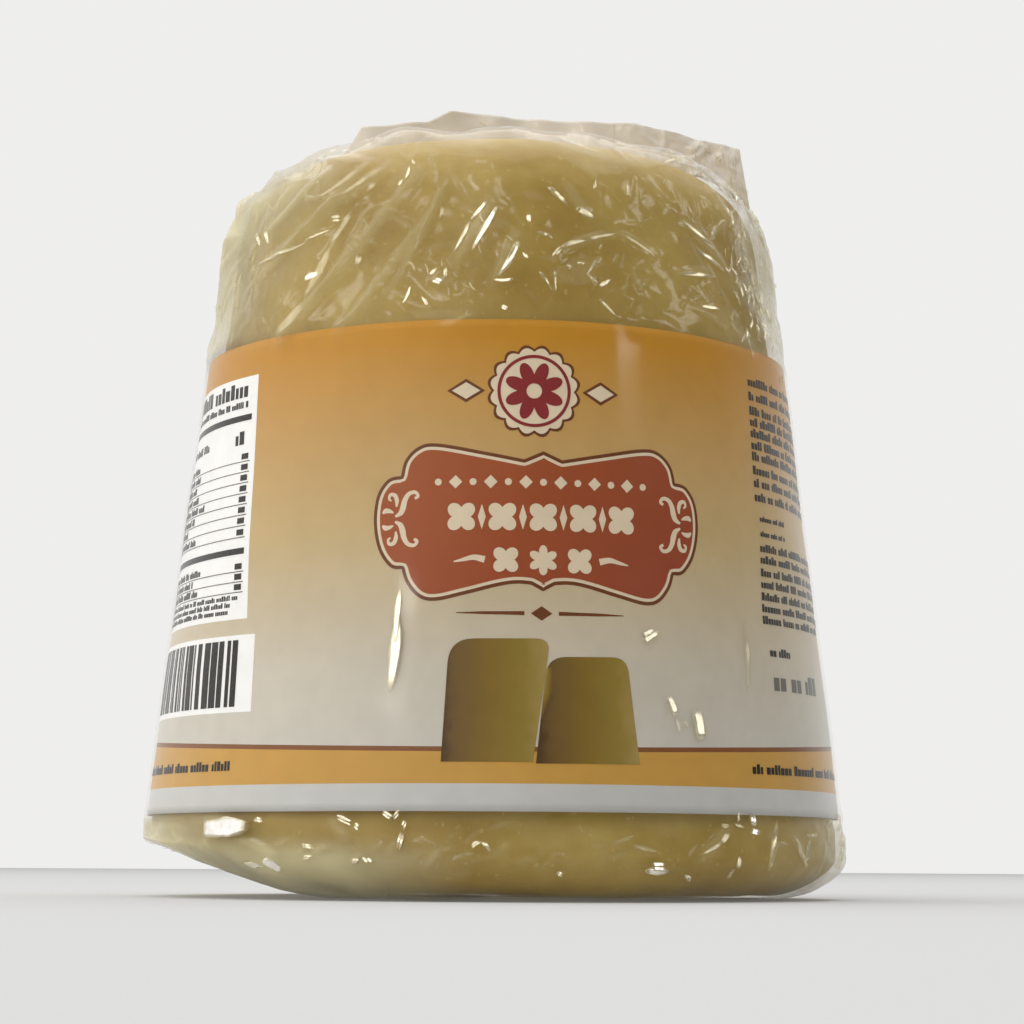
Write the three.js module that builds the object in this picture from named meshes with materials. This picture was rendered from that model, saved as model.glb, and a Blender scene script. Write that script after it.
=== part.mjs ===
// A jaggery block: a round-shouldered, tapered cake of unrefined cane sugar, sealed in a clear film bag
// with a printed sleeve round its middle.
//
// The bag is one tube of film. It lies closer on the front and back of the block than at its left and right
// sides, tucks in under a flat foot, and is pinched into a seal fin over the top. The foot rises in a long
// bevel on the left. The sleeve is a thin tapered ring let into the bag, flush with the film.
//
// Millimetres, +Z up. The origin is on the flat foot. The sleeve's front panel faces -Y and the seal fin
// runs along X. Angles are measured round Z from +X, so the front is at -90 degrees.
import * as THREE from "three";
import { ParametricGeometry } from "three/addons/geometries/ParametricGeometry.js";

const { lerp, smoothstep, degToRad } = THREE.MathUtils;

// Block and the film drawn over it
const BLOCK_HEIGHT = 111;
const BLOCK_SHOULDER = 12;
const FILM_COVER = 1.1;
const FILM_SOFTNESS = 0.8; // rounding where the film leaves the block for the fin
const SHOULDER_HEIGHT = BLOCK_HEIGHT - BLOCK_SHOULDER;
const SHOULDER_BEND = BLOCK_SHOULDER + FILM_COVER;

// Sleeve
const SLEEVE_BOTTOM = 12;
const SLEEVE_TOP = 80.3;
const SLEEVE_THICKNESS = 0.4;
const SLEEVE_GAP = 0.3;

// Reach of the bag from its axis, as [height, reach], at the front and back and at the sides
const FRONT_REACH = [
  [SLEEVE_BOTTOM, 51.6],
  [SLEEVE_TOP, 44],
  [SHOULDER_HEIGHT, 40.4],
];
const SIDE_REACH = [
  [SLEEVE_BOTTOM, 53],
  [SLEEVE_TOP, 45.3],
  [SHOULDER_HEIGHT, 42],
];
const SIDE_SHARPNESS = 4;

// Heel: the turn from the wall to the flat foot. Roundness 1 is a straight bevel and 2 an arc.
const FRONT_HEEL = { width: 7, height: 5, roundness: 2 };
const RIGHT_HEEL = { width: 10, height: 5.5, roundness: 1.5 };
const LEFT_HEEL = { width: 32, height: 8.5, roundness: 1.12 };

// Seal fin over the top, with the height of its edge as [x, height]. Its left end is folded down.
const FIN_ROOT_REACH = 39.9;
const FIN_TIP_REACH = 38.3;
const FIN_ROOT_HEIGHT = BLOCK_HEIGHT + 1.6;
const FIN_CORNER_HEIGHT = 107.6;
const FIN_ROOT_THICKNESS = 1.3;
const FIN_TIP_SHARE = 0.6; // of the root's thickness, just below the edge
const FIN_END_SHARE = 1 / 3; // of the fin's half length, over which each end closes
const FIN_WAVE = 1.1;
const FIN_WAVE_LENGTH = 34;
const FIN_WAVE_TURN = 0.5;
const FIN_EDGE = [
  [-FIN_TIP_REACH, 109.4],
  [-24.5, 115.6],
  [-21.5, 120.4],
  [-11, 121],
  [-7, 123],
  [22, 120.9],
  [FIN_TIP_REACH, 117.2],
];

// Pleats of the shoulder: waves round the bag, each with its count, depth and turn
const PLEATS = [
  { count: 9, depth: 0.45, turn: 0.6 },
  { count: 14, depth: 0.36, turn: 2.1 },
  { count: 19, depth: 0.26, turn: 4.4 },
];

// Fineness of the faceted surfaces
const COLUMNS = 96;
const FOOT_SHARES = [0, 0.4, 0.75, 1];
const HEEL_SHARES = [22.5, 45, 67.5, 90].map((turn) => Math.sin(degToRad(turn)));
const SLEEVE_ROWS = 5;
const WALL_ROWS = 4;
const SHOULDER_SHARES = [0.015, 0.06, 0.13, 0.22, 0.32, 0.48, 0.66, 0.84, 1];
const FIN_SHARES = [0.35, 0.7, 1];

// Value at x of a line through [position, value] pairs, held level beyond its ends.
function along(points, x) {
  const next = points.findIndex(([position]) => position > x);
  if (next === 0) return points[0][1];
  if (next < 0) return points[points.length - 1][1];
  const [[x0, y0], [x1, y1]] = [points[next - 1], points[next]];
  return lerp(y0, y1, (x - x0) / (x1 - x0));
}

// Reach of the bag at an angle and height, from the heel to the shoulder.
function girth(angle, height) {
  const sideShare = Math.abs(Math.cos(angle)) ** SIDE_SHARPNESS;
  return lerp(along(FRONT_REACH, height), along(SIDE_REACH, height), sideShare);
}

function heel(angle) {
  const side = Math.cos(angle) < 0 ? LEFT_HEEL : RIGHT_HEEL;
  const share = Math.cos(angle) ** 2;
  const width = lerp(FRONT_HEEL.width, side.width, share);
  const height = lerp(FRONT_HEEL.height, side.height, share);
  const roundness = lerp(FRONT_HEEL.roundness, side.roundness, share);
  return { width, height, roundness, footReach: girth(angle, height) - width };
}

function pleat(angle) {
  return PLEATS.reduce((sum, { count, depth, turn }) => sum + depth * Math.cos(count * angle + turn), 0);
}

const softMax = (a, b) => (a + b + Math.hypot(a - b, FILM_SOFTNESS)) / 2;

// Height of film drawn tight over the block's round shoulder and flat top, where the wall reaches `reach`.
function drape(radius, reach) {
  const outside = Math.max(0, radius - (reach - SHOULDER_BEND));
  return SHOULDER_HEIGHT + Math.sqrt(Math.max(0, SHOULDER_BEND ** 2 - outside ** 2));
}

function finRootHeight(x) {
  const tight = drape(Math.abs(x), girth(0, SHOULDER_HEIGHT)) + FILM_SOFTNESS;
  return Math.max(FIN_CORNER_HEIGHT, Math.min(FIN_ROOT_HEIGHT, tight));
}

function finWave(x, share) {
  return FIN_WAVE * share * Math.sin((2 * Math.PI * x) / FIN_WAVE_LENGTH + FIN_WAVE_TURN);
}

// Distance of the fin's front or back layer from its middle, closing to nothing at its two ends.
function finLayer(side) {
  return Math.sign(side) * (FIN_ROOT_THICKNESS / 2) * Math.min(1, Math.abs(side) / FIN_END_SHARE);
}

function atRadius(target, angle, radius, height) {
  return target.set(radius * Math.cos(angle), radius * Math.sin(angle), height);
}

const footRing = (share) => (angle, target) => atRadius(target, angle, heel(angle).footReach * share, 0);

const heelRing = (share) => (angle, target) => {
  const { width, height, roundness, footReach } = heel(angle);
  const rise = 1 - (1 - share ** roundness) ** (1 / roundness);
  return atRadius(target, angle, footReach + width * share, height * rise);
};

const wallRing =
  (height, inset = 0) =>
  (angle, target) => {
    const slack = smoothstep(height, SLEEVE_TOP, SHOULDER_HEIGHT);
    return atRadius(target, angle, girth(angle, height) - inset + slack * pleat(angle), height);
  };

// Point of the film between the wall, at share 0, and the root of the fin, at share 1.
const shoulderRing = (share) => (angle, target) => {
  const side = Math.sin(angle);
  const wallReach = girth(angle, SHOULDER_HEIGHT);
  const reach = wallReach + pleat(angle) * (1 - share);
  const rootX = FIN_ROOT_REACH * Math.cos(angle);
  const x = lerp(reach * Math.cos(angle), rootX, share);
  const y = lerp(reach * side, finLayer(side), share);
  const tent = lerp(SHOULDER_HEIGHT, finRootHeight(rootX), share);
  const fold = pleat(angle) * Math.sin(Math.PI * share);
  return target.set(x, y, softMax(drape(Math.hypot(x, y), wallReach), tent) + fold);
};

// Point of the fin between its root, at share 0, and its edge, at share 1, where front and back meet.
const finRing = (share) => (angle, target) => {
  const side = Math.sin(angle);
  const x = lerp(FIN_ROOT_REACH, FIN_TIP_REACH, share) * Math.cos(angle);
  const layer = share < 1 ? finLayer(side) * lerp(1, FIN_TIP_SHARE, share) : 0;
  const root = finRootHeight(FIN_ROOT_REACH * Math.cos(angle));
  const height = lerp(root, along(FIN_EDGE, x), share);
  return target.set(x, finWave(x, share) * Math.abs(side) + layer, height);
};

// Skins a list of rings, each a function from an angle to a point.
function skin(rings) {
  const last = rings.length - 1;
  const surface = (u, v, target) => rings[Math.round(v * last)]((u % 1) * 2 * Math.PI, target);
  return new ParametricGeometry(surface, COLUMNS, last);
}

const steps = (from, to, count) => Array.from({ length: count + 1 }, (_, i) => lerp(from, to, i / count));

function filmBag() {
  const seatInset = SLEEVE_THICKNESS + SLEEVE_GAP;
  return skin([
    ...FOOT_SHARES.map(footRing),
    ...HEEL_SHARES.map(heelRing),
    wallRing(SLEEVE_BOTTOM),
    ...steps(SLEEVE_BOTTOM, SLEEVE_TOP, SLEEVE_ROWS).map((height) => wallRing(height, seatInset)),
    ...steps(SLEEVE_TOP, SHOULDER_HEIGHT, WALL_ROWS).map((height) => wallRing(height)),
    ...SHOULDER_SHARES.map(shoulderRing),
    ...FIN_SHARES.map(finRing),
  ]);
}

function printedSleeve() {
  const heights = steps(SLEEVE_BOTTOM + SLEEVE_GAP, SLEEVE_TOP - SLEEVE_GAP, SLEEVE_ROWS);
  const outside = heights.map((height) => wallRing(height));
  const inside = heights.map((height) => wallRing(height, SLEEVE_THICKNESS)).reverse();
  return skin([...outside, ...inside, outside[0]]);
}

function piece(name, geometry, colour, roughness) {
  const material = new THREE.MeshStandardMaterial({ color: colour, roughness, metalness: 0 });
  const mesh = new THREE.Mesh(geometry, material);
  mesh.name = name;
  return mesh;
}

const jaggeryPack = new THREE.Group();
jaggeryPack.add(
  piece("film_bag", filmBag(), "#b39c5e", 0.25),
  piece("printed_sleeve", printedSleeve(), "#c6a877", 0.35),
);

export default jaggeryPack;
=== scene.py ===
import math

import bpy
import numpy as np
from bpy.props import FloatProperty, FloatVectorProperty, IntProperty, PointerProperty
from mathutils import Matrix, Vector


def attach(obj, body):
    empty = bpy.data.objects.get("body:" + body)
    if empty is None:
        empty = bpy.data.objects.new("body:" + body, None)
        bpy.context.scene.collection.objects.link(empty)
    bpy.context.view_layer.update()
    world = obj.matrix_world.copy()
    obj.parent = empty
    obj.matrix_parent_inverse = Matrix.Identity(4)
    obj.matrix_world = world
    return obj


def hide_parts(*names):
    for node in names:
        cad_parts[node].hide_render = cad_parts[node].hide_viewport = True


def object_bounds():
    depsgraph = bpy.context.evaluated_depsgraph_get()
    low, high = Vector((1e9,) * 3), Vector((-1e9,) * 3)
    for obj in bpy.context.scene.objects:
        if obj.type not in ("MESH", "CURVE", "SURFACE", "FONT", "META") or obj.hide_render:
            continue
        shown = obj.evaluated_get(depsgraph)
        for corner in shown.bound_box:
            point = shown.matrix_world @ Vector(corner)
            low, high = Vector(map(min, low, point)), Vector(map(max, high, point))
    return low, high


# A jaggery pack: a round-shouldered, tapered cake of unrefined cane sugar, sealed in a crinkled clear film
# bag with a printed sleeve round its middle. The bag tucks in under a flat foot, which rises in a long bevel
# on the left, and is pinched into a seal fin over the top.
#
# Shapes are worked out in millimetres, +Z up, with the origin on the flat foot. The front of the print faces
# -Y and the fin runs along X. Angles are measured round Z from +X, so the front is at -90 degrees.

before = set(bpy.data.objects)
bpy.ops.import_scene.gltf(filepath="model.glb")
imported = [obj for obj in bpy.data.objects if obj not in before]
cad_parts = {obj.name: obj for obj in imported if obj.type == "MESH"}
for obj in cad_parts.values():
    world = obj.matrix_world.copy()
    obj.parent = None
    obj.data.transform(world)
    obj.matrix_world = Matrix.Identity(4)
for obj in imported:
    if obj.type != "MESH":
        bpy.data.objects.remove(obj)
CAD_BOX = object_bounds()

bl_info = {
    "name": "Jaggery Pack",
    "version": (1, 0, 0),
    "blender": (4, 5, 0),
    "location": "View3D > Sidebar > Jaggery Pack",
    "description": "Models a cake of jaggery in a clear film bag with a printed sleeve",
    "category": "Add Mesh",
}

MM = 0.001
FRONT = -math.pi / 2
TURN = 2 * math.pi
TINY = 1e-9  # least length that anything is divided by

# The bag's form, as its solid has it

BLOCK_HEIGHT = 111.0
BLOCK_SHOULDER = 12.0
FILM_COVER = 1.1
FILM_SOFTNESS = 0.8
SHOULDER_HEIGHT = BLOCK_HEIGHT - BLOCK_SHOULDER
SHOULDER_BEND = BLOCK_SHOULDER + FILM_COVER
SHOULDER_END = BLOCK_HEIGHT - 0.5  # highest place that a fold of the shoulder is given

SLEEVE_BOTTOM = 12.0
SLEEVE_TOP = 80.3

# Reach from the axis at the front and back and at the sides, as heights and reaches
REACH_HEIGHTS = (SLEEVE_BOTTOM, SLEEVE_TOP, SHOULDER_HEIGHT)
FRONT_REACH = (51.6, 44.0, 40.4)
SIDE_REACH = (53.0, 45.3, 42.0)
SIDE_SHARPNESS = 4

# Heel: width, height and roundness of the turn from the wall to the flat foot
FRONT_HEEL = (7.0, 5.0, 2.0)
RIGHT_HEEL = (10.0, 5.5, 1.5)
LEFT_HEEL = (32.0, 8.5, 1.12)

FIN_ROOT_REACH = 39.9
FIN_TIP_REACH = 38.3
FIN_ROOT_HEIGHT = BLOCK_HEIGHT + 1.6
FIN_CORNER_HEIGHT = 107.6
FIN_ROOT_THICKNESS = 1.3
FIN_TIP_SHARE = 0.6
FIN_END_SHARE = 1 / 3
FIN_WAVE = 1.1
FIN_WAVE_LENGTH = 34.0
FIN_WAVE_TURN = 0.5
FIN_EDGE = (  # places along X, and the height of the edge there
    (-FIN_TIP_REACH, -24.5, -21.5, -11.0, -7.0, 22.0, FIN_TIP_REACH),
    (109.4, 115.6, 120.4, 121.0, 123.0, 120.9, 117.2),
)

# Pleats of the shoulder: count round the bag, depth and turn
PLEATS = ((9, 0.45, 0.6), (14, 0.36, 2.1), (19, 0.26, 4.4))

# Rows and columns of the film's mesh
FILM_COLUMNS = 480
FOOT_ROWS = 8
HEEL_ROWS = 12
LOWER_ROWS = 14
BAND_ROWS = 24
UPPER_ROWS = 50
SHOULDER_ROWS = 70
FIN_ROWS = 25
COLUMN_SAMPLES = 2001  # places round the film at which the density of its columns is summed
SEAM_GAP = 1e-7  # distance in metres under which the ends of a grid are joined
FINE_REACH = math.radians(86)  # the front half of the film gets fine columns, out to this angle
COARSE_REACH = math.radians(100)  # and the back half coarse ones from here on
COARSE_SHARE = 0.3
ARC_ROWS_SHARE = 0.55  # of the shoulder's rows that go to its round part
ARC_SHARE = 0.324  # of the way to the fin that the round part takes at the front
BEND_PASSES = 70  # of smoothing where the wall meets the shoulder
BEND_ROWS = 14  # that the smoothing reaches each way

# Cake
CAKE_SIDES = 96
CAKE_WIDENING = 1.035  # of its width over its depth
CAKE_BEVEL_STEPS = 10
CAKE_VOXEL = 1.15
CAKE_GAP = 1.25  # least distance of its wall from the bag's solid, before the lumps
CAKE_FOOT = 15.0  # height up to which its foot follows the bag's heel
CAKE_REST = 0.5  # least height of its foot over the bag's solid, after the lumps
CAKE_CLEARANCE = 0.3  # and how far inside the solid's heel that height is taken
CAKE_DENTS = (("dents", 8.0, 0.35), ("grain", 2.6, 0.16))  # finer relief than the lumps: breadth and height
LUMP_BREADTH = 26.0
LUMP_MIDDLE = 0.62  # share of the relief's height that lies below the plain surface

# How far each layer lies inside the bag's solid
FILM_DEPTH = 0.2
SLEEVE_DEPTH = 0.65
SLEEVE_WALL = 0.12
SLEEVE_COLUMNS = 400
SLEEVE_ROWS = 60
INK_STEP = 0.04
INK_WALL = 0.03
INK_SHARP = math.radians(30)  # edges turned further than this stay sharp
INK_STRIPS = (2.0, 4.0)  # size across and up of the pieces that ink is cut into

# Film's place in the bag's box
BOX_MARGIN = 0.05
TUCK_MARGIN = 0.02
FOOT_MIDDLE = 0.3  # height of the middle of its foot

# Relief of the film
CRUMPLE_RADIUS = 46.0  # the folds are laid out on a cylinder this wide
CRUMPLE_GIRTH = TURN * CRUMPLE_RADIUS
LOOSE_ABOVE = (0.0, 2.5)  # distance over the sleeve's top in which the film comes loose
LOOSE_BELOW = (-2.0, 0.5)  # and that over its bottom
LOWER_SLACK = 0.8  # looseness below the sleeve for that above it
TIGHT_RELIEF = 0.04  # share of the facets that shows over the sleeve
NEAR_FIN = (-8.0, 3.0)  # rows over the fin's root in which the relief settles down
FIN_RELIEF = 0.12  # share of the relief that is left on the fin
FIN_DEPTH = 0.4  # and of the film's depth
FOOT_RELIEF = 0.25  # share of the relief that is left under the foot
FOOT_FADE = 5  # rows out from the foot in which it comes back

# Haze of the film, each as a share of full haze
CREASE_HAZE = 0.22
FIN_HAZE = 0.75
FIN_ROOT_HAZE = 0.35
SIDES_HAZE = (0.50, 0.40)  # above and below the sleeve, where the film hangs off the cake's sides; it also paints the sheen of film seen edge-on at the pack's left and right
LEFT_HAZE = (0.18, 0.50)  # above and below the sleeve, on the whole left
SHOULDER_HAZE = 0.42  # on the left of the shoulder
BEVEL_HAZE = 0.95  # under the left bevel
FULL_CREASE = 0.25  # height of a crease that is hazy all over
# Where each sets in and is full, as the cosine of the angle to the side, height over the sleeve, or height
SIDES_REACH = (0.80, 0.99)
LEFT_REACH = (0.60, 0.85)
SHOULDER_REACH = (0.45, 0.75)
SHOULDER_RISE = (15.0, 25.0)
BEVEL_REACH = (0.0, 0.50)
BEVEL_RISE = (4.5, 9.5)

# Broad creases as (angle, height) in degrees and mm from end to end, half width, height and bow in mm
CREASES = (
    ((-91, 99.4), (-98.9, 87.6), 1.6, 0.35, 0.6),
    ((-86, 93.4), (-91.4, 84.4), 1.4, 0.3, 0.3),
    ((-76.5, 101.6), (-70, 96), 1.3, 0.35, -0.4),
    ((-78.5, 90.2), (-65.8, 94), 1.2, 0.32, 0.8),
    ((-66.5, 94.6), (-56.5, 91), 1.2, 0.28, 0.7),
    ((-50, 98.4), (-37, 92.6), 1.4, 0.4, 0.3),
    ((-53.5, 89.2), (-41.2, 91), 1.2, 0.3, 0.2),
    ((-105.2, 103.8), (-137.5, 78.8), 1.6, 0.5, 1.2),
    ((-111, 105), (-149.5, 91), 1.5, 0.5, 1),
    ((-116.5, 97.2), (-131, 81.5), 1.2, 0.34, 0.6),
    ((-116.2, 105.6), (-152.5, 87.4), 1.1, 0.4, 1.2),
    ((-125.2, 105.6), (-148.5, 96.6), 1.2, 0.4, 0.6),
    ((-98.8, 102.8), (-123, 78.6), 1.3, 0.3, 1.4),
    ((-100, 103.6), (-112, 82.8), 1.1, 0.24, 0.8),
    ((-47, 101), (-36, 91), 1.2, 0.3, -0.6),
    ((-41, 107), (-31.5, 98.2), 1.1, 0.5, -1.8),
    ((-46, 95.2), (-33, 101.5), 1, 0.3, -0.8),
    ((-51, 84.8), (-40, 82), 0.9, 0.24, 0.3),
    # round the heel
    ((-141, 10.8), (-130.8, 9.6), 1.1, 0.45, 0.2),
    ((-115.5, 11.2), (-111.8, 8), 1, 0.4, 0),
    ((-50.5, 10.8), (-58, 5.6), 1, 0.4, 0),
    ((-133, 8.4), (-124, 5.8), 1, 0.35, 0.3),
    ((-38, 9.8), (-30, 6.4), 1, 0.4, -0.3),
)

# Tucks are thin welts of film with a flat top. Points that the tops face, in mm, and their whitening, a
# cream colour that is partly the whitening of folded film and partly a painted glint
ABOVE = (-56.0, -493.0, 195.0, 1.0)
RIGHT = (204.0, -436.0, 130.0, 0.7)
FAR_RIGHT = (234.0, -331.0, 175.0, 0.8)
FAR_LEFT = (-229.0, -343.0, 181.0, 0.9)
LEFT_VEIL = (*FAR_LEFT[:3], 0.16)
MIDDLE_VEIL = (*ABOVE[:3], 0.35)
RIGHT_VEIL = (*RIGHT[:3], 0.30)
WALL_LEFT = (-128.0, -480.0, 87.0, 1.0)
LABEL_RIGHT = (*RIGHT[:3], 1.0)
SOFT_LEFT = (*FAR_LEFT[:3], 0.45)
# Heel tucks get more than full whitening, which paints a brighter glint on them
HEEL_LEFT = (-403.0, -376.0, 65.0, 2.0)
HEEL_ABOVE = (*ABOVE[:3], 1.8)
HEEL_RIGHT = (*RIGHT[:3], 1.6)

# Tucks as angle and height of both ends, width and bow in mm, and the point they face
TUCKS = (
    (-92, 98, -95.2, 94.8, 0.6, 0.1, ABOVE), (-95, 95.1, -98.3, 89.8, 0.55, 0.2, ABOVE),
    (-89.8, 97.4, -94.9, 89.8, 0.95, 0.2, ABOVE), (-86, 91.8, -90, 86.1, 0.75, 0.3, ABOVE),
    (-86.6, 86, -90.8, 86, 0.55, 0.2, ABOVE), (-101.2, 97.6, -101.3, 95.4, 0.55, 0, MIDDLE_VEIL),
    (-102, 86.2, -100.2, 85.7, 0.7, 0.1, ABOVE), (-106.5, 85.8, -108, 82.6, 0.5, 0.2, ABOVE),
    (-104, 84, -103, 82.6, 0.45, 0, ABOVE), (-101.4, 88, -102.7, 86.7, 0.45, 0, ABOVE),
    (-99.8, 88.2, -99.6, 86.4, 0.45, 0, ABOVE), (-108.1, 104.2, -109.1, 102, 0.55, 0.1, ABOVE),
    (-109.7, 101.9, -110.1, 100.7, 0.45, 0, ABOVE), (-107.5, 105.4, -107.5, 104.4, 0.4, 0, ABOVE),
    (-115.5, 101.7, -117.3, 100.5, 0.5, 0, MIDDLE_VEIL),
    (-115.8, 105.4, -130.3, 100.2, 0.9, 0.5, LEFT_VEIL),
    (-112.2, 104.4, -127, 99.6, 0.8, 0.4, LEFT_VEIL), (-125.3, 97, -122.9, 96.7, 0.9, 0.1, SOFT_LEFT),
    (-147.5, 92.4, -137, 93.5, 0.4, -0.1, FAR_LEFT), (-144, 92.7, -130.6, 94.5, 0.46, -0.1, FAR_LEFT),
    (-132.8, 94.3, -125, 95.5, 0.34, 0, FAR_LEFT), (-120.5, 98, -125.4, 92.6, 1.3, 0.2, LEFT_VEIL),
    (-125, 93, -129.6, 84.4, 2, 0.2, LEFT_VEIL), (-129.2, 85, -135.5, 79.6, 1.8, 0.2, LEFT_VEIL),
    (-130.6, 88.3, -127, 88.9, 1.1, 0.1, FAR_LEFT), (-150.8, 98.2, -148.3, 95.6, 0.7, 0.1, SOFT_LEFT),
    (-146, 97.8, -144, 95.2, 0.7, 0.1, SOFT_LEFT), (-118.3, 89.6, -118, 91.2, 0.9, 0, MIDDLE_VEIL),
    (-80.2, 100.3, -75, 97.6, 0.8, 0.2, RIGHT), (-74.2, 97.4, -69.7, 96.1, 0.95, 0.1, RIGHT),
    (-70, 101.6, -70, 100.2, 0.5, 0, RIGHT), (-83.8, 96, -83.8, 94.4, 0.6, 0, ABOVE),
    (-82.4, 93.4, -78.6, 92.3, 0.45, 0.3, ABOVE), (-79, 89.9, -77, 91.6, 0.65, 0, RIGHT),
    (-77.6, 91.2, -71.6, 92.9, 0.6, 0.2, RIGHT), (-72.4, 92.7, -64.8, 94.3, 0.45, 0.1, RIGHT),
    (-64.6, 94.1, -56.8, 91.2, 0.4, 0.2, RIGHT), (-49.2, 97.9, -40, 93.9, 0.65, 0.1, FAR_RIGHT),
    (-46, 94.3, -38.3, 91.5, 0.65, 0.1, FAR_RIGHT), (-52, 89.4, -40.6, 89.9, 0.6, 0.2, FAR_RIGHT),
    (-82.3, 87.4, -79.3, 84.2, 0.45, 0.1, LABEL_RIGHT), (-79.1, 87.6, -79, 84.1, 0.42, 0, LABEL_RIGHT),
    (-84.9, 89.9, -84.4, 89.1, 0.45, 0, ABOVE), (-76.4, 88.4, -75.3, 88.2, 0.45, 0, RIGHT),
    (-74.2, 89, -72.8, 89.4, 0.45, 0, RIGHT), (-70.4, 89.9, -72.9, 87.3, 0.4, 0.2, RIGHT),
    (-73, 87.5, -70.3, 86.1, 0.4, -0.2, RIGHT), (-70.6, 85.7, -67.6, 87.1, 0.65, -0.1, RIGHT),
    (-71, 83.7, -67.3, 81.3, 0.5, 0, RIGHT), (-47.4, 84.8, -42, 84.8, 0.6, 0.1, FAR_RIGHT),
    (-37, 102, -33.6, 97.6, 0.5, 0.2, FAR_RIGHT), (-31.7, 105, -30.5, 103.4, 0.8, 0.3, FAR_RIGHT),
    (-27.5, 108, -24, 105.6, 0.9, 0.5, FAR_RIGHT), (-62.2, 101.9, -62.2, 99.9, 0.5, 0, RIGHT),
    (-52.5, 109, -49.5, 107.4, 0.6, 0.2, RIGHT), (-54, 106.4, -46.2, 108.6, 0.55, 0.2, RIGHT),
    (-89.2, 82.1, -87.6, 81.5, 0.5, 0, ABOVE),
    # round the foot
    (-141, 9.7, -129.3, 9.9, 2.5, 0, HEEL_LEFT), (-128.9, 11, -127.5, 10.8, 0.6, 0, ABOVE),
    (-114.4, 11.3, -111.8, 10.3, 0.7, 0, ABOVE), (-111.3, 10.3, -110.4, 9.5, 0.6, 0, ABOVE),
    (-106.6, 11.8, -105.3, 11.1, 0.6, 0, ABOVE), (-104.2, 12, -105.3, 10.7, 0.5, 0, ABOVE),
    (-103.2, 11.1, -103.5, 9.7, 0.45, 0, ABOVE), (-103.8, 9.1, -104.3, 6.9, 0.6, 0, ABOVE),
    (-109.6, 5.9, -108.6, 5.1, 0.6, 0, ABOVE), (-111.2, 5.4, -110.3, 5.4, 0.55, 0, ABOVE),
    (-127.2, 5.7, -124, 4.3, 0.8, 0.3, HEEL_ABOVE), (-131.8, 5.4, -127.5, 4.6, 0.6, 0.1, HEEL_ABOVE),
    (-119.7, 7.4, -117.8, 7.2, 0.5, 0, ABOVE), (-119.4, 5.8, -118, 5.8, 0.5, 0, ABOVE),
    (-93.4, 7, -91.6, 8.1, 0.5, 0.2, ABOVE), (-91.9, 8.1, -90.3, 6.5, 0.5, 0.2, ABOVE),
    (-67, 4.3, -62.6, 4.3, 0.8, 0, HEEL_RIGHT), (-65.5, 4.9, -63.1, 4.9, 0.9, 0, HEEL_RIGHT),
    (-59.6, 3.5, -58.3, 3.3, 0.6, 0, HEEL_RIGHT), (-46.2, 12, -46.2, 10.6, 0.7, 0, HEEL_RIGHT),
    (-46.7, 9.9, -44.8, 9.5, 0.65, 0, HEEL_RIGHT), (-49.6, 10.7, -48.4, 10.1, 0.45, 0, RIGHT),
    (-49.2, 12.2, -49.6, 11.2, 0.4, 0, RIGHT), (-51.9, 9.4, -53.4, 8, 0.6, 0, RIGHT),
    (-53, 8.4, -57.2, 6.4, 0.45, 0.1, RIGHT), (-49.2, 6.3, -49.9, 4.7, 0.5, 0, RIGHT),
    (-50, 4.9, -51.3, 3.5, 0.4, 0, RIGHT), (-40.2, 11.8, -43, 4, 0.7, 0.2, RIGHT),
    (-35.5, 9.4, -31.6, 4.2, 0.7, 0.2, RIGHT), (-80.6, 4.1, -79.4, 3.3, 0.5, 0, ABOVE),
    (-53.1, 10.6, -51.1, 10.2, 0.45, 0, RIGHT),
    # over the sleeve
    (-105.4, 42.5, -105.9, 34, 0.9, -0.1, WALL_LEFT), (-105.7, 38.6, -106.5, 27.6, 1.6, 0.2, WALL_LEFT),
    (-65.4, 35.7, -62.9, 36.9, 1.3, 0, LABEL_RIGHT), (-61.3, 28, -60.4, 25.1, 0.95, 0.1, LABEL_RIGHT),
    (-60.1, 25.2, -59.8, 22.6, 0.5, 0, RIGHT_VEIL), (-58.6, 24.8, -58.3, 23.6, 0.45, 0, RIGHT_VEIL),
    (-56, 26.4, -56, 21.8, 1.35, 0.1, LABEL_RIGHT), (-43.9, 39.6, -44.7, 29.2, 0.6, 0.2, RIGHT_VEIL),
)
# Section of a tuck: place across it, 1 on its top, and share of its whitening and painted glint
TUCK_SECTION = np.array((
    (1.0, 1.0, 0.45), (0.62, 1.0, 1.0), (0.0, 1.0, 1.0), (-0.62, 1.0, 1.0), (-1.0, 1.0, 0.45),
    (-1.25, 0.0, 0.0), (0.0, 0.0, 0.0), (1.25, 0.0, 0.0),
))
TUCK_STATIONS = 12
TUCK_RISE = (0.05, 0.25)  # least and greatest height over the film of a top that faces a point
RISE_FOR_WIDTH = 0.4  # greatest height that is added for its width
LOOSE_RISE = (0.04, 0.26)  # and the heights of the top of any other tuck
TUCK_ROOT = 0.15  # depth of the underside below the film
TUCK_END = 0.12  # share of its length in which a tuck comes up at each end
WHITENED_END = 0.2  # and in which its whitening and painted glint set in
TUCK_TILT = math.radians(20)  # that loose tucks lean away from the film's own slope
TUCK_WHITENING_AND_GLINT = 0.35  # of tucks that aren't listed; it also sets their painted glint
BACK_WHITENING_AND_GLINT = 0.6  # of the placed tucks' mirror images at the back, and so of their painted glint
FULL_AT_BACK = 0.5  # a tuck's whitening from which its mirror image has all of that
STUBBY = 0.25  # width for its length from which a tuck keeps blunt ends
TAPERS = (0.35, 0.7)  # how fast a stubby tuck narrows to its ends, and a slender one
TUCK_SKEW = 0.8  # under 1, tucks are widest before their middle
SHORTEST = 0.1  # length that a tuck is taken to have at least
LEAST_COSINE = 0.3  # between the film's normal and the way that a top faces
RAGGED = ((0.10, 13, 4), (0.04, 31, -5))  # unevenness of its edges: depth, pitch along it and across it
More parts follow.
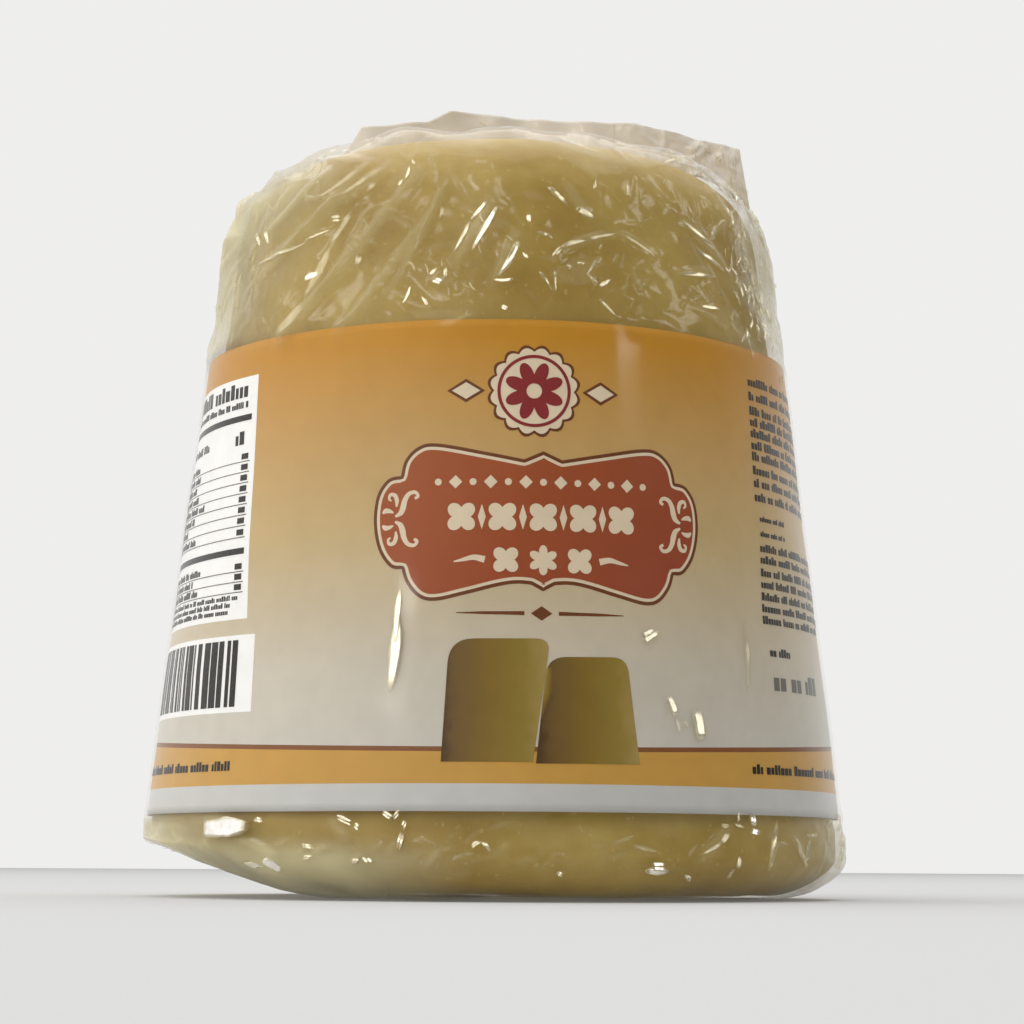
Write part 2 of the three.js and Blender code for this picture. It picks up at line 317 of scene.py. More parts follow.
FULL_WIDTH = 0.7  # width from which a placed tuck has its full whitening and painted glint
THIN_WHITENING_AND_GLINT = 0.5  # least share of its whitening and painted glint that a thinner one keeps
SLIVER_LENGTH = 2.4  # a placed tuck shorter than this is split into thin slivers
SLIVERS = (-0.26, 0.28)  # their places across it, as shares of its width
SLIVER_WIDTHS = (0.55, 0.75)  # and their widths
SLIVER_SHIFT = 0.35  # that their ends are moved along it at most
SLIVER_SLANT = 0.08  # and across it, as a share of its width

# Loose tucks: count, lowest and highest place in mm up the film
LOOSE_TUCKS = ((90, SLEEVE_TOP + 2, SLEEVE_TOP + 34), (50, SLEEVE_BOTTOM - 9, SLEEVE_BOTTOM - 1))
LOOSE_REACH = math.radians(58)  # round from the middle of the front, where they begin
LOOSE_WIDTH = 0.36
LOOSE_HALVES = (0.6, 2.2)  # half lengths
LOOSE_BOW = 0.1

# Tucks of the fin: count, middle and half reach in degrees round from the middle of its side, whitening
# (which also paints a glint), and the point they face, or None for those of both sides
FIN_TUCKS = ((44, 0.0, 85.0, 0.35, None), (34, 66.0, 14.0, 0.70, FAR_RIGHT))
FIN_TUCK_WIDTH = 0.34
FIN_TUCK_HALVES = (0.5, 2.6)
FIN_TUCK_SLANT = 0.7
FIN_TUCK_SPAN = (-2.0, -1.0)  # lowest place from the fin's root, and highest from its edge

# Patches of dense crinkling: middle (angle, height), half size (degrees, mm), creases and tucks in it, their
# lean from upright in degrees, half width, height and length in mm, and the point their tucks face
CRINKLES = (
    ((-27.5, 90), (11.5, 9), 60, 120, 4, 0.36, 0.12, 2.9, FAR_RIGHT),
    ((-30, 99), (14, 6), 26, 14, 35, 0.45, 0.16, 4, FAR_RIGHT),
    ((-76.5, 88.6), (6.5, 3.4), 12, 6, 35, 0.38, 0.14, 2.2, RIGHT),
    ((-150, 92), (12, 9), 34, 6, -28, 0.5, 0.16, 5, LEFT_VEIL),
    ((-128, 98), (16, 6), 22, 0, -58, 0.55, 0.18, 6.5, None),
    ((-44, 84.5), (9, 2.6), 12, 5, 60, 0.4, 0.15, 3, RIGHT_VEIL),
    ((-20, 8), (18, 3.4), 20, 8, 62, 0.55, 0.14, 4, FAR_RIGHT),
    ((-152, 7), (14, 3), 16, 0, -62, 0.55, 0.12, 4, None),
    ((-92, 7), (34, 3), 30, 5, 70, 0.55, 0.18, 4.6, RIGHT_VEIL),
    ((-100.5, 86.5), (5.5, 3.4), 14, 12, -20, 0.34, 0.14, 2.6, MIDDLE_VEIL),
    ((-66, 88), (8, 4.5), 16, 14, 38, 0.34, 0.13, 2.8, RIGHT_VEIL),
    ((-92, 94.5), (7, 5), 10, 8, -30, 0.3, 0.12, 3.2, MIDDLE_VEIL),
    ((-117, 93), (10, 7), 14, 10, -50, 0.32, 0.12, 4.2, LEFT_VEIL),
    ((-56, 100), (10, 5), 12, 9, 42, 0.3, 0.12, 3.4, RIGHT_VEIL),
    ((68, 94), (24, 6), 40, 18, 30, 0.5, 0.2, 4.6, None),
    ((118, 90), (22, 8), 46, 20, -24, 0.5, 0.2, 4.8, None),
    ((92, 8), (40, 3), 40, 14, 66, 0.55, 0.22, 4.4, None),
)
PATCH_SLANT = 22.0  # degrees that the creases of a patch stray from its lean
PATCH_LENGTHS = (0.4, 0.9)  # shares of the patch's length that they take
PATCH_SIZES = (0.7, 1.3)  # of their width and height
PATCH_BOW = 0.25
PATCH_TUCK_WIDTH = 0.8  # of a tuck for the half width of its crease
PATCH_WHITENING_AND_GLINT = (0.4, 1.0)  # shares of the whitening, with its painted glint, of the point they face
PATCH_TILT = math.radians(7)  # that the tucks of a patch stray from the point they face

CREASE_FOCUS = (-14.0, 124.0)  # loose creases and tucks fan out from here, in mm across and along the film
FOCUS_SPREAD = 12.0  # mm added to the distance from it, so that those beside it don't lie flat
LOOSE_SLANT = 0.45  # that they stray from the fan
LOOSE_SIZES = (0.5, 1.2)
BACK_MARGIN = 8.0  # kept free at the film's seam
LOOSE_CREASES = 300
LOOSE_CREASE = (0.75, 0.14, 0.4)  # half width, height and bow
LOOSE_CREASE_SPAN = (SLEEVE_TOP + 2, SLEEVE_TOP + 66)
LOOSE_CREASE_HALVES = (1.5, 6.5)  # half lengths
GATHERS = 70  # creases that run down from the fin
GATHER = (1.1, 0.6)  # half width and bow
GATHER_HEIGHTS = (0.2, 0.5)
GATHER_DROP = (6.0, 16.0)  # from its top to its end
GATHER_MARGIN = 6.0  # kept free on each side of the film's seam
GATHER_START = 3.0  # below the fin at most
GATHER_STRAY = 3.0  # of its end to either side
CREASE_TAPER = 0.7  # how fast creases flatten to their ends
CREASE_ROOM = 0.5  # beyond its bow and half width, in which a crease is worked out
CREASE_SEED = 7

# Facets of the crumpled film: cell across and along, height, seed
FACETS_LARGE = (9.2, 7.4, 0.34, 11)
FACETS_MIDDLE = (4.3, 3.5, 0.14, 12)
FACETS_SMALL = (1.9, 1.7, 0.05, 13)
FACETS_SPAN = (-60.0, 200.0)  # places along the film from the lowest cell to the highest
FACET_SWAY = 0.45  # of the net's lines, as a share of a cell
UPRIGHT_SWAY = (1.9, 4)  # of its upright lines: pitch up the film and count round it
LEVEL_SWAY = (0.8, 0.31)  # of its level lines: pitch, and count as a share of the columns

# Sway of the fin: share of the facets' height, how much finer they are across and up, and the facets
FIN_SWAY = ((0.7, 1.7, 1.2, FACETS_LARGE), (1.3, 1.0, 1.0, FACETS_MIDDLE))
FIN_RIPPLE = (0.25, 0.9, 0.35)  # height, and pitch across and up
FIN_CRINKLE = (11.0, 1.2, 1.4, FACETS_SMALL)  # of its right end
FIN_CRINKLED = (17.0, 30.0)  # where that sets in

# Slow waves of the bag, shared by the film and the sleeve: count round it, per mm up it, depth, turn
RIPPLES = ((5, 0.031, 0.10, 0.4), (8, -0.043, 0.08, 2.2), (13, 0.060, 0.04, 4.0), (3, 0.090, 0.06, 1.1))
LOOSE_RIPPLES = ((7, 0.11, 0.22, 0.9), (11, -0.16, 0.16, 2.7), (17, 0.21, 0.10, 5.1))

# Finishes. Noise is given as its scale per metre, detail and roughness. Unless said otherwise, a pair is
# what a value is multiplied by and what is added to it
CLEAR_TINT = (0.985, 0.98, 0.965)
FILM_WRINKLES = (620.0, 2.0, 0.6)
WRINKLE_STRENGTH = 0.5
WRINKLE_DEPTH = 0.12
EDGE_SHARPNESS = 4.0  # power of the film's gloss towards its edges
EDGE_GLOSS = 0.6
FILM_CLOUDS = (90.0, 1.0, 0.6)
FILM_HAZE = (0.85, 0.015)
SEAL_RISE = (BLOCK_HEIGHT - 8, BLOCK_HEIGHT + 2)  # heights between which haze takes the seal's colour
FOLD_CLOUDS = (700.0, 2.0, 0.6)
# Cream haze of tucks: partly the whitening of folded film, partly a painted glint
FOLD_HAZE = 0.7
FOLD_CLOUD_GLOSS = 0.45
FOLD_TINT = (1.0, 0.92, 0.68)
BRIGHT_TINT = (1.0, 0.96, 0.94)
BRIGHT_TUCK = 0.9  # whitening from which a tuck's gloss takes the bright tint
SUGAR_PATCHES = (28.0, 2.0, 0.5)
SUGAR_LUMPS = (120.0, 4.0, 0.6)
SUGAR_GRAIN = (900.0, 3.0, 0.6)
SUGAR_MOTTLE = (0.6, 0.45)  # shares of the patches and lumps in the colour
SUGAR_STOPS = (0.32, 0.72, 0.52)  # where the colour is deep, light and in between
SPECK_FROM = 0.66
SPECK_SHARE = 0.25
SUGAR_RELIEF = (2.0, 0.6)  # shares of the lumps and grain in the relief
SUGAR_BUMP = (0.35, 0.3)  # strength and depth
SUGAR_ROUGHNESS = (0.3, 0.4)
SUGAR_GLOSS = 0.35
SUGAR_GLOW = 0.15  # share of the light that enters the sugar
SUGAR_GLOW_REACH = 3.0  # how far it spreads, and shares of that for red, green and blue
SUGAR_GLOW_COLOUR = (1.0, 0.7, 0.3)
SLEEVE_FADE = (0.25, 0.97, 0.40, 0.62, 0.84)  # shares of its height: chalk, ochre, pale, plain and deep sand
PALE_SAND = 0.25  # share of the way from chalk to sand
DEEP_SAND = 0.62  # and from sand to ochre
INK_ROUGHNESS = 0.5
INK_GLOSS = 0.12
INK_MOTTLE = (240.0, 2.0, 0.7)
INK_SHADES = (0.16, 0.92)
BRICK_FADE = (12.0, 1.0)
CAKES_MOTTLE = (420.0, 4.0, 0.65)
CAKES_UNEVEN = (0.24, -0.12)
CAKES_FADE = (  # shares of each printed cake's width and the colours there
    (0.0, (84, 62, 34)), (1.0, (170, 146, 84)), (0.10, (112, 86, 46)), (0.45, (136, 108, 42)),
    (0.80, (148, 126, 54)),
)

# Print, laid out flat in mm: across the sleeve from the middle of its front, and up
LABEL_SIDES = (0.0, math.pi)
CARTOUCHE_MIDDLE = (6.7, 51.5)
CARTOUCHE_HALF = (
    (0, 9.9), (2.7, 8.7), (8.4, 9.8), (14.9, 11.0), (17.6, 10.6), (19.5, 8.8), (20.1, 6.5), (22.0, 6.1),
    (23.6, 3.8), (24.0, 0.0), (23.2, -3.8), (21.4, -6.3), (19.7, -6.6), (19.0, -8.6), (17.2, -10.6),
    (14.8, -11.1), (10.6, -10.2), (6.3, -9.1), (3.8, -8.7), (1.7, -8.8), (0, -9.7),
)
CARTOUCHE_CORNERS = (0, 1, 6, 12, 19, 20)
CARTOUCHE_LINE = 0.5
CARTOUCHE_TRIM = 0.45
PETAL_DEPTH = 0.45
FLOWER_POINTS = 96
BEAD_POINTS = 14
RING_POINTS = 56
HEART_POINTS = 20
BEADS = (6, 2.45, 5.5)  # row of beads and lozenges: number each way, spacing, and height
BEAD_SIZES = (0.5, 0.95)  # radius of a bead and reach of a lozenge
FLOWERS = (2, 5.7, 0.6)  # row of flowers with slim lozenges between them
FLOWER_RADIUS = 2.35
SLIM_LOZENGE = (0.55, 1.8)
LOWER_FLOWERS = (1, 5.2, -5.4)
LOWER_FLOWER_RADIUS = 2.1
SCROLL = ((8.1, 0.0), (9.6, 0.3), (11.0, 0.0), (12.4, -0.3))  # line that swings out beside them
SCROLL_WIDTHS = (0.95, 0.75, 0.5, 0.15)
FLOURISH_PLACE = (19.9, 0.4)
FLOURISH = (  # a quarter of the leafy ornament: paths, with the width at each point
    (((-0.9, 0.35), (-0.1, 0.85), (0.25, 1.7), (0.45, 2.6), (1.0, 3.5), (1.9, 3.75), (2.35, 3.2),
      (1.9, 2.85)),
     (0.3, 0.75, 0.85, 0.75, 0.6, 0.5, 0.45, 0.4)),
    (((-0.75, 1.75), (-0.7, 2.6), (-1.0, 3.35), (-1.65, 3.5), (-1.85, 2.9), (-1.5, 2.6)),
     (0.25, 0.6, 0.6, 0.45, 0.35, 0.25)),
    (((-1.15, 0.9), (-1.7, 1.15), (-2.3, 1.2), (-2.75, 0.85)), (0.2, 0.55, 0.75, 0.3)),
)
MEDALLION_MIDDLE = (5.4, 70.0)
MEDALLION_RADII = (6.7, 6.25)  # of its outline and its pale field
MEDALLION_SCALLOPS = (16, 0.10)  # count and depth
MEDALLION_RINGS = (5.2, 4.75)
MEDALLION_FLOWER = (4.3, 8)  # radius and petals
MEDALLION_HEART = 1.1
LOZENGE_REACH = 9.6  # from the medallion's middle
LOZENGES = ((2.7, 1.7), (2.0, 1.2))
DIVIDER_MIDDLE = (6.5, 38.75)
DIVIDER_DIAMOND = (1.5, 1.0)
DIVIDER_PLACES = (2.4, 5.0, 8.0, 11.8)
DIVIDER_WIDTHS = (0.55, 0.45, 0.4, 0.1)
LARGE_BLOCK = ((-7.2, 18.6, 0), (-6.2, 35.2, 3.4), (7.7, 35.3, 1.9), (5.3, 18.6, 0))  # corners, rounding
SMALL_BLOCK = ((5.7, 18.4, 0), (7.3, 32.8, 2.6), (18.7, 33.0, 2.2), (20.5, 18.5, 0))
LARGE_SPAN = (-7.0, 14.0)  # left edge and width
SMALL_SPAN = (6.5, 13.5)
BLOCKS_EDGE = ((18.6, 33.6), (5.6, 7.5))  # heights and places of the edge between them

LINE_TOP = 20.6
STRIPE_TOP = 19.95
STRIPE_BOTTOM = 15.7
STRIPE_RISE = 2.6  # of its top, from the middle of the front to the sides

TABLE_SPAN = (-84.0, -39.4)
TABLE_HEIGHTS = (39.2, 75.2)
TABLE_HEADINGS = (  # ends, height of the middle, and size of each
    (-82.5, -41.0, 73.3, 2.3), (-70.0, -41.2, 71.0, 0.95), (-82.5, -53.4, 66.0, 1.2),
    (-44.6, -41.0, 66.0, 2.0),
)
TABLE_RULES_SPAN = (-83.0, -40.6)
THICK_RULES = (69.0, 49.1)
TABLE_ROWS = (63.2, 61.6, 60.0, 58.4, 56.8, 55.2, 53.6, 51.9, 46.9, 45.4, 43.9)
TABLE_ROW_SPAN = (-82.5, -57.4)
TABLE_ROW_RAGGED = (-4, 4)
TABLE_SQUARES_SPAN = (-42.7, -41.0)
THICK_RULE = (-0.45, 0.45)  # bottom and top from its row's height, as for the next two
THIN_RULE = (-0.86, -0.72)
SQUARE = (-0.45, 0.4)
TABLE_SMALL_PRINT = (-82.5, -41.0, 5, (42.4, 41.4, 40.4), 0.75)  # as the notes below

BARS_SPAN = (-72.0, -37.6)
BARS_HEIGHTS = (25.9, 36.9)
BARS_INSIDE = (-70.0, -41.0)
BAR_HEIGHTS = (26.7, 36.2)
BAR_WIDTHS = (0.4, 0.8, 0.8, 1.2, 1.6)
BAR_GAPS = (0.3, 0.35, 0.4, 0.8)

# Rows of small print: left and right end, how ragged the right end is, heights of the rows, and size
NOTES = (
    (43.4, 78.0, 9, (75.2, 73.0, 70.8, 69.1, 67.4, 65.6, 63.9, 61.8, 59.9, 57.8), 1.3),
    (44.4, 52.4, 0, (54.6, 52.4), 0.8),
    (44.2, 76.0, 9, (50.3, 48.6, 46.7, 45.0, 43.2, 41.5, 39.8), 1.15),
    (45.6, 52.4, 0, (35.2,), 1.2),
    (-73.0, -41.0, 0, (18.4,), 1.35),
    (40.5, 73.0, 0, (18.4,), 1.35),
)
STAMPED_ROW = (46.2, 62.0, 31.0, 2.6)  # ends, height and size
SMALL_PRINT_WIDTHS = (0.32, 0.62)  # of its bars, and what follows, as shares of its size
SMALL_PRINT_WORDS = (2, 9)  # bars in a word, from the first number and under the second
SMALL_PRINT_RISES = (0.5, 0.22)  # of tall bars and of the others, over the middle
TALL_SHARE = 0.4  # of the bars
BAR_GAP = 0.17
WORD_GAP = 0.5

# Stage, in metres. Glows are in watts per steradian and square metre
FLOOR_REACH = 1.6
FLOOR_DEPTH = 0.06
FLOOR_SIDES = 128
FLOOR_SHARP = math.radians(30)
FLOOR_COLOUR = (0.50, 0.50, 0.497)
FLOOR_GLOW = 0.10
FLOOR_GLOW_COLOUR = (1.0, 1.0, 0.99)
ROOM_COLOUR = (1.0, 0.995, 0.985)
ROOM_GLOW = 0.09
LEFT_GLOW = 1.27
LEFT_ONSET = (0.3, -0.9)  # directions along X in which it sets in and is full
BACKDROP_GLOW = 0.86  # seen behind the pack from every side
BACKDROP_ONSET = (-0.2, 0.85)  # directions along Y in which it sets in and is full
SENSOR_WIDTH = 36.0
CAMERA_SHIFT = (0.0164, -0.0031)
NEAREST_SEEN = 0.01
LIGHTS_AIM = (0.0, 0.0, 0.06)
LIGHTS = (  # name, place, size and glow
    ("top", (0.0, 0.10, 1.35), (2.0, 2.0), 1.43),
    ("streak_left", (-0.51, -0.82, 0.327), (0.12, 0.06), 12.0),
    ("streak_right", (0.74, -0.545, 0.459), (0.16, 0.06), 10.0),
    ("window", (-0.20, -0.75, 0.69), (0.20, 0.20), 5.0),
    ("side_left", (-0.80, -0.215, 0.62), (0.18, 0.18), 5.0),
    ("side_right", (0.82, -0.17, 0.60), (0.18, 0.18), 5.0),
)


def srgb(red, green, blue):
    """Colour that a picture shows as these values from 0 to 255."""
    shares = [value / 255 for value in (red, green, blue)]
    return tuple(s / 12.92 if s <= 0.04045 else ((s + 0.055) / 1.055) ** 2.4 for s in shares)


def length_property(name, description, millimetres):
    return FloatProperty(name=name, description=description, default=millimetres * MM, unit="LENGTH")


def angle_property(name, description, degrees):
    return FloatProperty(name=name, description=description, default=math.radians(degrees), subtype="ANGLE")


def factor_property(name, description, default):
    return FloatProperty(name=name, description=description, default=default, subtype="FACTOR")


def colour_property(name, description, *shown):
    """Colour setting, given as what a picture shows of it."""
    return FloatVectorProperty(name=name, description=description, default=srgb(*shown), subtype="COLOR")


class CakeSettings(bpy.types.PropertyGroup):
    """Sizes and colours of the cake of jaggery."""

    foot_radius: length_property("Foot Radius", "Radius of the cake at its foot", 50.8)
    top_radius: length_property("Top Radius", "Radius the taper would reach at the top", 37.6)
    bottom: length_property("Bottom", "Height of the cake's foot over the floor", 0.7)
    shoulder: length_property("Shoulder", "Rounding of the top edge", 12.0)
    lump: length_property("Lumps", "Height of the broad lumps", 0.9)
    light_colour: colour_property("Light Colour", "Pale parts of the sugar", 192, 166, 88)
    deep_colour: colour_property("Deep Colour", "Dark parts of the sugar", 156, 124, 46)
    speck_colour: colour_property("Speck Colour", "Bright grains of the sugar", 228, 206, 140)


class FilmSettings(bpy.types.PropertyGroup):
    """Finish of the clear film."""

    crumple: FloatProperty(
        name="Crumple", description="Depth of the folds, 1 as packed", default=1.0, min=0.0, max=1.5)
    haze_colour: colour_property("Haze Colour", "Colour of creased film", 214, 203, 158)
    seal_colour: colour_property("Seal Colour", "Colour of film in the seal", 236, 227, 212)
    roughness: factor_property("Roughness", "Blur of the film's gloss", 0.12)
    gloss: factor_property("Gloss", "Mirrored share of the light, seen square on", 0.017)
    fold_colour: colour_property("Fold Colour", "Colour of tucks", 228, 218, 186)
    fold_roughness: factor_property("Fold Roughness", "Blur of the gloss of tucks", 0.24)
    fold_gloss: factor_property("Fold Gloss", "Mirrored share of the light on tucks", 0.20)


class PrintSettings(bpy.types.PropertyGroup):
    """Colours of the printed sleeve."""

    ochre: colour_property("Ochre", "Top of the sleeve", 200, 141, 40)
    sand: colour_property("Sand", "Middle of the sleeve", 203, 178, 130)
    chalk: colour_property("Chalk", "Bottom of the sleeve", 212, 208, 198)
    stripe_line: colour_property("Stripe Line", "Line over the stripe", 136, 86, 50)
    stripe: colour_property("Stripe", "Stripe round the bottom", 208, 160, 78)
    white: colour_property("White", "Side panels", 254, 254, 253)
    border: colour_property("Border", "Border round the bottom", 207, 207, 205)
    brick: colour_property("Brick", "Field of the cartouche", 170, 88, 42)
    maroon: colour_property("Maroon", "Field of the cartouche at its lower right", 150, 66, 48)
    line: colour_property("Line", "Brown outlines", 112, 62, 34)
    cream: colour_property("Cream", "Ornament and trim", 232, 214, 186)
    red: colour_property("Red", "Flower of the rosette", 140, 44, 48)
    black: colour_property("Black", "Small print and bars", 26, 21, 18)
    grey: colour_property("Grey", "Rules and the stamped row", 112, 108, 104)
    seed: IntProperty(
        name="Seed", description="Draw of the widths of the bars", default=5)


class StageSettings(bpy.types.PropertyGroup):
    """Camera and light."""

    distance: length_property("Distance", "Camera to the pack's axis", 394.5)
    height: length_property("Height", "Camera over the floor", 5.06)
    tilt: angle_property("Tilt", "Camera upwards", 7.87)
    roll: angle_property("Roll", "Camera about its own axis", 0.35)
    lens: FloatProperty(
        name="Lens", description="Focal length in mm", default=90.35)
    brightness: FloatProperty(
        name="Brightness", description="All lights together", default=1.0, min=0.0)


# Form of the bag: each function takes arrays of angles, heights or shares


def lerp(a, b, share):
    return a + (b - a) * share


def smoothstep(value, low, high):
    share = np.clip((value - low) / (high - low), 0, 1)
    return share * share * (3 - 2 * share)


def girth(angle, height):
    """Reach of the bag from its axis."""
    front, side = (np.interp(height, REACH_HEIGHTS, reach) for reach in (FRONT_REACH, SIDE_REACH))
    return lerp(front, side, np.abs(np.cos(angle)) ** SIDE_SHARPNESS)


def heel(angle):
    """Width, height, roundness and foot's reach of the heel."""
    share = np.cos(angle) ** 2
    left = np.cos(angle) < 0
    width, height, roundness = (
        lerp(front, np.where(left, at_left, at_right), share)
        for front, at_left, at_right in zip(FRONT_HEEL, LEFT_HEEL, RIGHT_HEEL))
    return width, height, roundness, girth(angle, height) - width


def pleat(angle):
    return sum(depth * np.cos(count * angle + turn) for count, depth, turn in PLEATS)


def soft_max(a, b):
    return (a + b + np.hypot(a - b, FILM_SOFTNESS)) / 2


def drape(radius, reach):
    """Height of film drawn tight over the cake's shoulder and top."""
    outside = np.maximum(0, radius - (reach - SHOULDER_BEND))
    return SHOULDER_HEIGHT + np.sqrt(np.maximum(0, SHOULDER_BEND**2 - outside**2))


def fin_root_height(x):
    tight = drape(np.abs(x), girth(0.0, SHOULDER_HEIGHT)) + FILM_SOFTNESS
    return np.clip(tight, FIN_CORNER_HEIGHT, FIN_ROOT_HEIGHT)


def fin_layer(side):
    """Distance of the fin's front or back layer from its middle."""
    return np.sign(side) * FIN_ROOT_THICKNESS / 2 * np.minimum(1, np.abs(side) / FIN_END_SHARE)


def at_radius(angle, radius, height):
    return np.stack([radius * np.cos(angle), radius * np.sin(angle), height + 0 * angle], axis=-1)


def foot_ring(angle, share):
    return at_radius(angle, heel(angle)[3] * share, 0.0)


def heel_ring(angle, share):
    width, height, roundness, foot_reach = heel(angle)
    rise = 1 - (1 - share**roundness) ** (1 / roundness)
    return at_radius(angle, foot_reach + width * share, height * rise)


def lower_ring(angle, share):
    height = lerp(heel(angle)[1], SLEEVE_BOTTOM, share)
    return at_radius(angle, girth(angle, height), height)


def wall_ring(angle, height):
    slack = smoothstep(height, SLEEVE_TOP, SHOULDER_HEIGHT)
    return at_radius(angle, girth(angle, height) + slack * pleat(angle), height)


def shoulder_ring(angle, share):
    side = np.sin(angle)
    wall_reach = girth(angle, SHOULDER_HEIGHT)
    reach = wall_reach + pleat(angle) * (1 - share)
    root_x = FIN_ROOT_REACH * np.cos(angle)
    x = lerp(reach * np.cos(angle), root_x, share)
    y = lerp(reach * side, fin_layer(side), share)
    tent = lerp(SHOULDER_HEIGHT, fin_root_height(root_x), share)
    fold = pleat(angle) * math.sin(math.pi * share)
    return np.stack([x, y, soft_max(drape(np.hypot(x, y), wall_reach), tent) + fold], axis=-1)


def fin_ring(angle, share):
    side = np.sin(angle)
    x = lerp(FIN_ROOT_REACH, FIN_TIP_REACH, share) * np.cos(angle)
    layer = fin_layer(side) * lerp(1, FIN_TIP_SHARE, share)
    height = lerp(fin_root_height(FIN_ROOT_REACH * np.cos(angle)), np.interp(x, *FIN_EDGE), share)
    wave = FIN_WAVE * share * np.sin(TURN * x / FIN_WAVE_LENGTH + FIN_WAVE_TURN)
    return np.stack([x, wave * np.abs(side) + layer, height], axis=-1)


def film_columns():
    """Angles of the film's columns, once round from the middle of the back, fine at the front."""
    away = np.linspace(-math.pi, math.pi, COLUMN_SAMPLES)
    density = lerp(1.0, COARSE_SHARE, smoothstep(np.abs(away), FINE_REACH, COARSE_REACH))
    reached = np.concatenate([[0], np.cumsum((density[1:] + density[:-1]) / 2)])
    return FRONT + np.interp(np.linspace(0, reached[-1], FILM_COLUMNS + 1), reached, away)


def shoulder_shares():
    """Shares of the shoulder's rows: even steps round its arc, then even steps in to the fin."""
    steps = np.arange(1, SHOULDER_ROWS + 1) / SHOULDER_ROWS
    round_part = ARC_SHARE * (1 - np.cos(np.minimum(1, steps / ARC_ROWS_SHARE) * math.pi / 2))
    flat_part = lerp(ARC_SHARE, 1.0, (steps - ARC_ROWS_SHARE) / (1 - ARC_ROWS_SHARE))
    return np.where(steps < ARC_ROWS_SHARE, round_part, flat_part)


def film_rings(angle):
    """Rows of the film from the middle of the foot to the edge of the fin, as an array of points."""
    rings = [foot_ring(angle, share) for share in np.linspace(0, 1, FOOT_ROWS + 1)]
    rings += [heel_ring(angle, math.sin(turn)) for turn in np.linspace(0, math.pi / 2, HEEL_ROWS + 1)[1:]]
    rings += [lower_ring(angle, share) for share in np.linspace(0, 1, LOWER_ROWS + 1)[1:]]
    for bottom, top, rows in (
            (SLEEVE_BOTTOM, SLEEVE_TOP, BAND_ROWS), (SLEEVE_TOP, SHOULDER_HEIGHT, UPPER_ROWS)):
        rings += [wall_ring(angle, height) for height in np.linspace(bottom, top, rows + 1)[1:]]
    rings += [shoulder_ring(angle, share) for share in shoulder_shares()]
    rings += [fin_ring(angle, share) for share in np.linspace(0, 1, FIN_ROWS + 1)[1:]]
    return smooth_bend(np.array(rings))


def smooth_bend(rings):
    """Rounds the bend between the wall and the shoulder."""
    away = np.abs(np.arange(len(rings)) - (len(rings) - 1 - FIN_ROWS - SHOULDER_ROWS))
    share = (0.5 * (1 - smoothstep(away, BEND_ROWS / 2, BEND_ROWS)))[1:-1, None, None]
    for _ in range(BEND_PASSES):
        rings[1:-1] += share * ((rings[2:] + rings[:-2]) / 2 - rings[1:-1])
    return rings


def unit(vectors):
    return vectors / np.maximum(np.linalg.norm(vectors, axis=-1, keepdims=True), TINY)


def grid_normals(points):
    """Outward normals of a grid of points whose first and last columns are the same."""
    along = np.gradient(points, axis=0)
    wrapped = np.concatenate([points[:, -2:-1], points, points[:, 1:2]], axis=1)
    across = (wrapped[:, 2:] - wrapped[:, :-2]) / 2
    return unit(np.cross(across, along))


# Folds of the film: each function takes places across and along the film, in mm


def ripple(angle, height, waves=RIPPLES):
    return sum(depth * np.sin(count * angle + pitch * height * TURN / 2 + turn)
               for count, pitch, depth, turn in waves)


def facets(across, along, cell_across, cell_along, depth, seed):
    """Heights of a net of flat, irregular triangles."""
    draw = np.random.default_rng(seed)
    lowest, highest = FACETS_SPAN
    columns = round(CRUMPLE_GIRTH / cell_across)
    rows = math.ceil((highest - lowest) / cell_along)
    heights = draw.uniform(-1, 1, (columns, rows + 1))
    flipped = draw.random((columns, rows)) < 0.5
    turn = across * TURN / CRUMPLE_GIRTH
    up = along / cell_along
    upright_sway = np.sin(up * UPRIGHT_SWAY[0] + UPRIGHT_SWAY[1] * turn + seed)
    level_sway = np.sin(turn * round(columns * LEVEL_SWAY[1]) + up * LEVEL_SWAY[0])
    u = across / CRUMPLE_GIRTH * columns + FACET_SWAY * upright_sway
    v = (along - lowest) / cell_along + FACET_SWAY * level_sway
    column, row = np.floor(u).astype(int), np.clip(np.floor(v).astype(int), 0, rows - 1)
    here, beside = column % columns, (column + 1) % columns
    flip = flipped[here, row]
    left, right = np.where(flip, beside, here), np.where(flip, here, beside)
    h00, h10 = heights[left, row], heights[right, row]
    h01, h11 = heights[left, row + 1], heights[right, row + 1]
    fu, fv = u - np.floor(u), v - np.floor(v)
    fu = np.where(flip, 1 - fu, fu)
    near = h00 + fu * (h10 - h00) + fv * (h01 - h00)
    far = h11 + (1 - fu) * (h01 - h11) + (1 - fv) * (h10 - h11)
    return depth * np.where(fu + fv < 1, near, far)


def crease(across, along, start, end, half_width, height, bow):
    """Heights of one rounded crease that runs out at both ends."""
    span = np.subtract(end, start)
    length = math.hypot(*span)
    ahead = span / length
    offset_x, offset_y = across - start[0], along - start[1]
    share = (offset_x * ahead[0] + offset_y * ahead[1]) / length
    away = (offset_y * ahead[0] - offset_x * ahead[1] - arc(share, bow)) / half_width
    body = np.maximum(0, 1 - away**2) ** 2
    taper = np.sin(math.pi * np.clip(share, 0, 1)) ** CREASE_TAPER
    return height * body * taper


def arc(share, bow):
    """Distance of a bowed line from the straight one between its ends."""
    return bow * 4 * share * (1 - share)


def add_crease(field, across, along, start, end, half_width, height, bow):
    """Adds one crease to a field of heights, working only near it."""
    room = half_width + abs(bow) + CREASE_ROOM
    low, high = np.minimum(start, end) - room, np.maximum(start, end) + room
    near = (across > low[0]) & (across < high[0]) & (along > low[1]) & (along < high[1])
    field[near] += crease(across[near], along[near], start, end, half_width, height, bow)


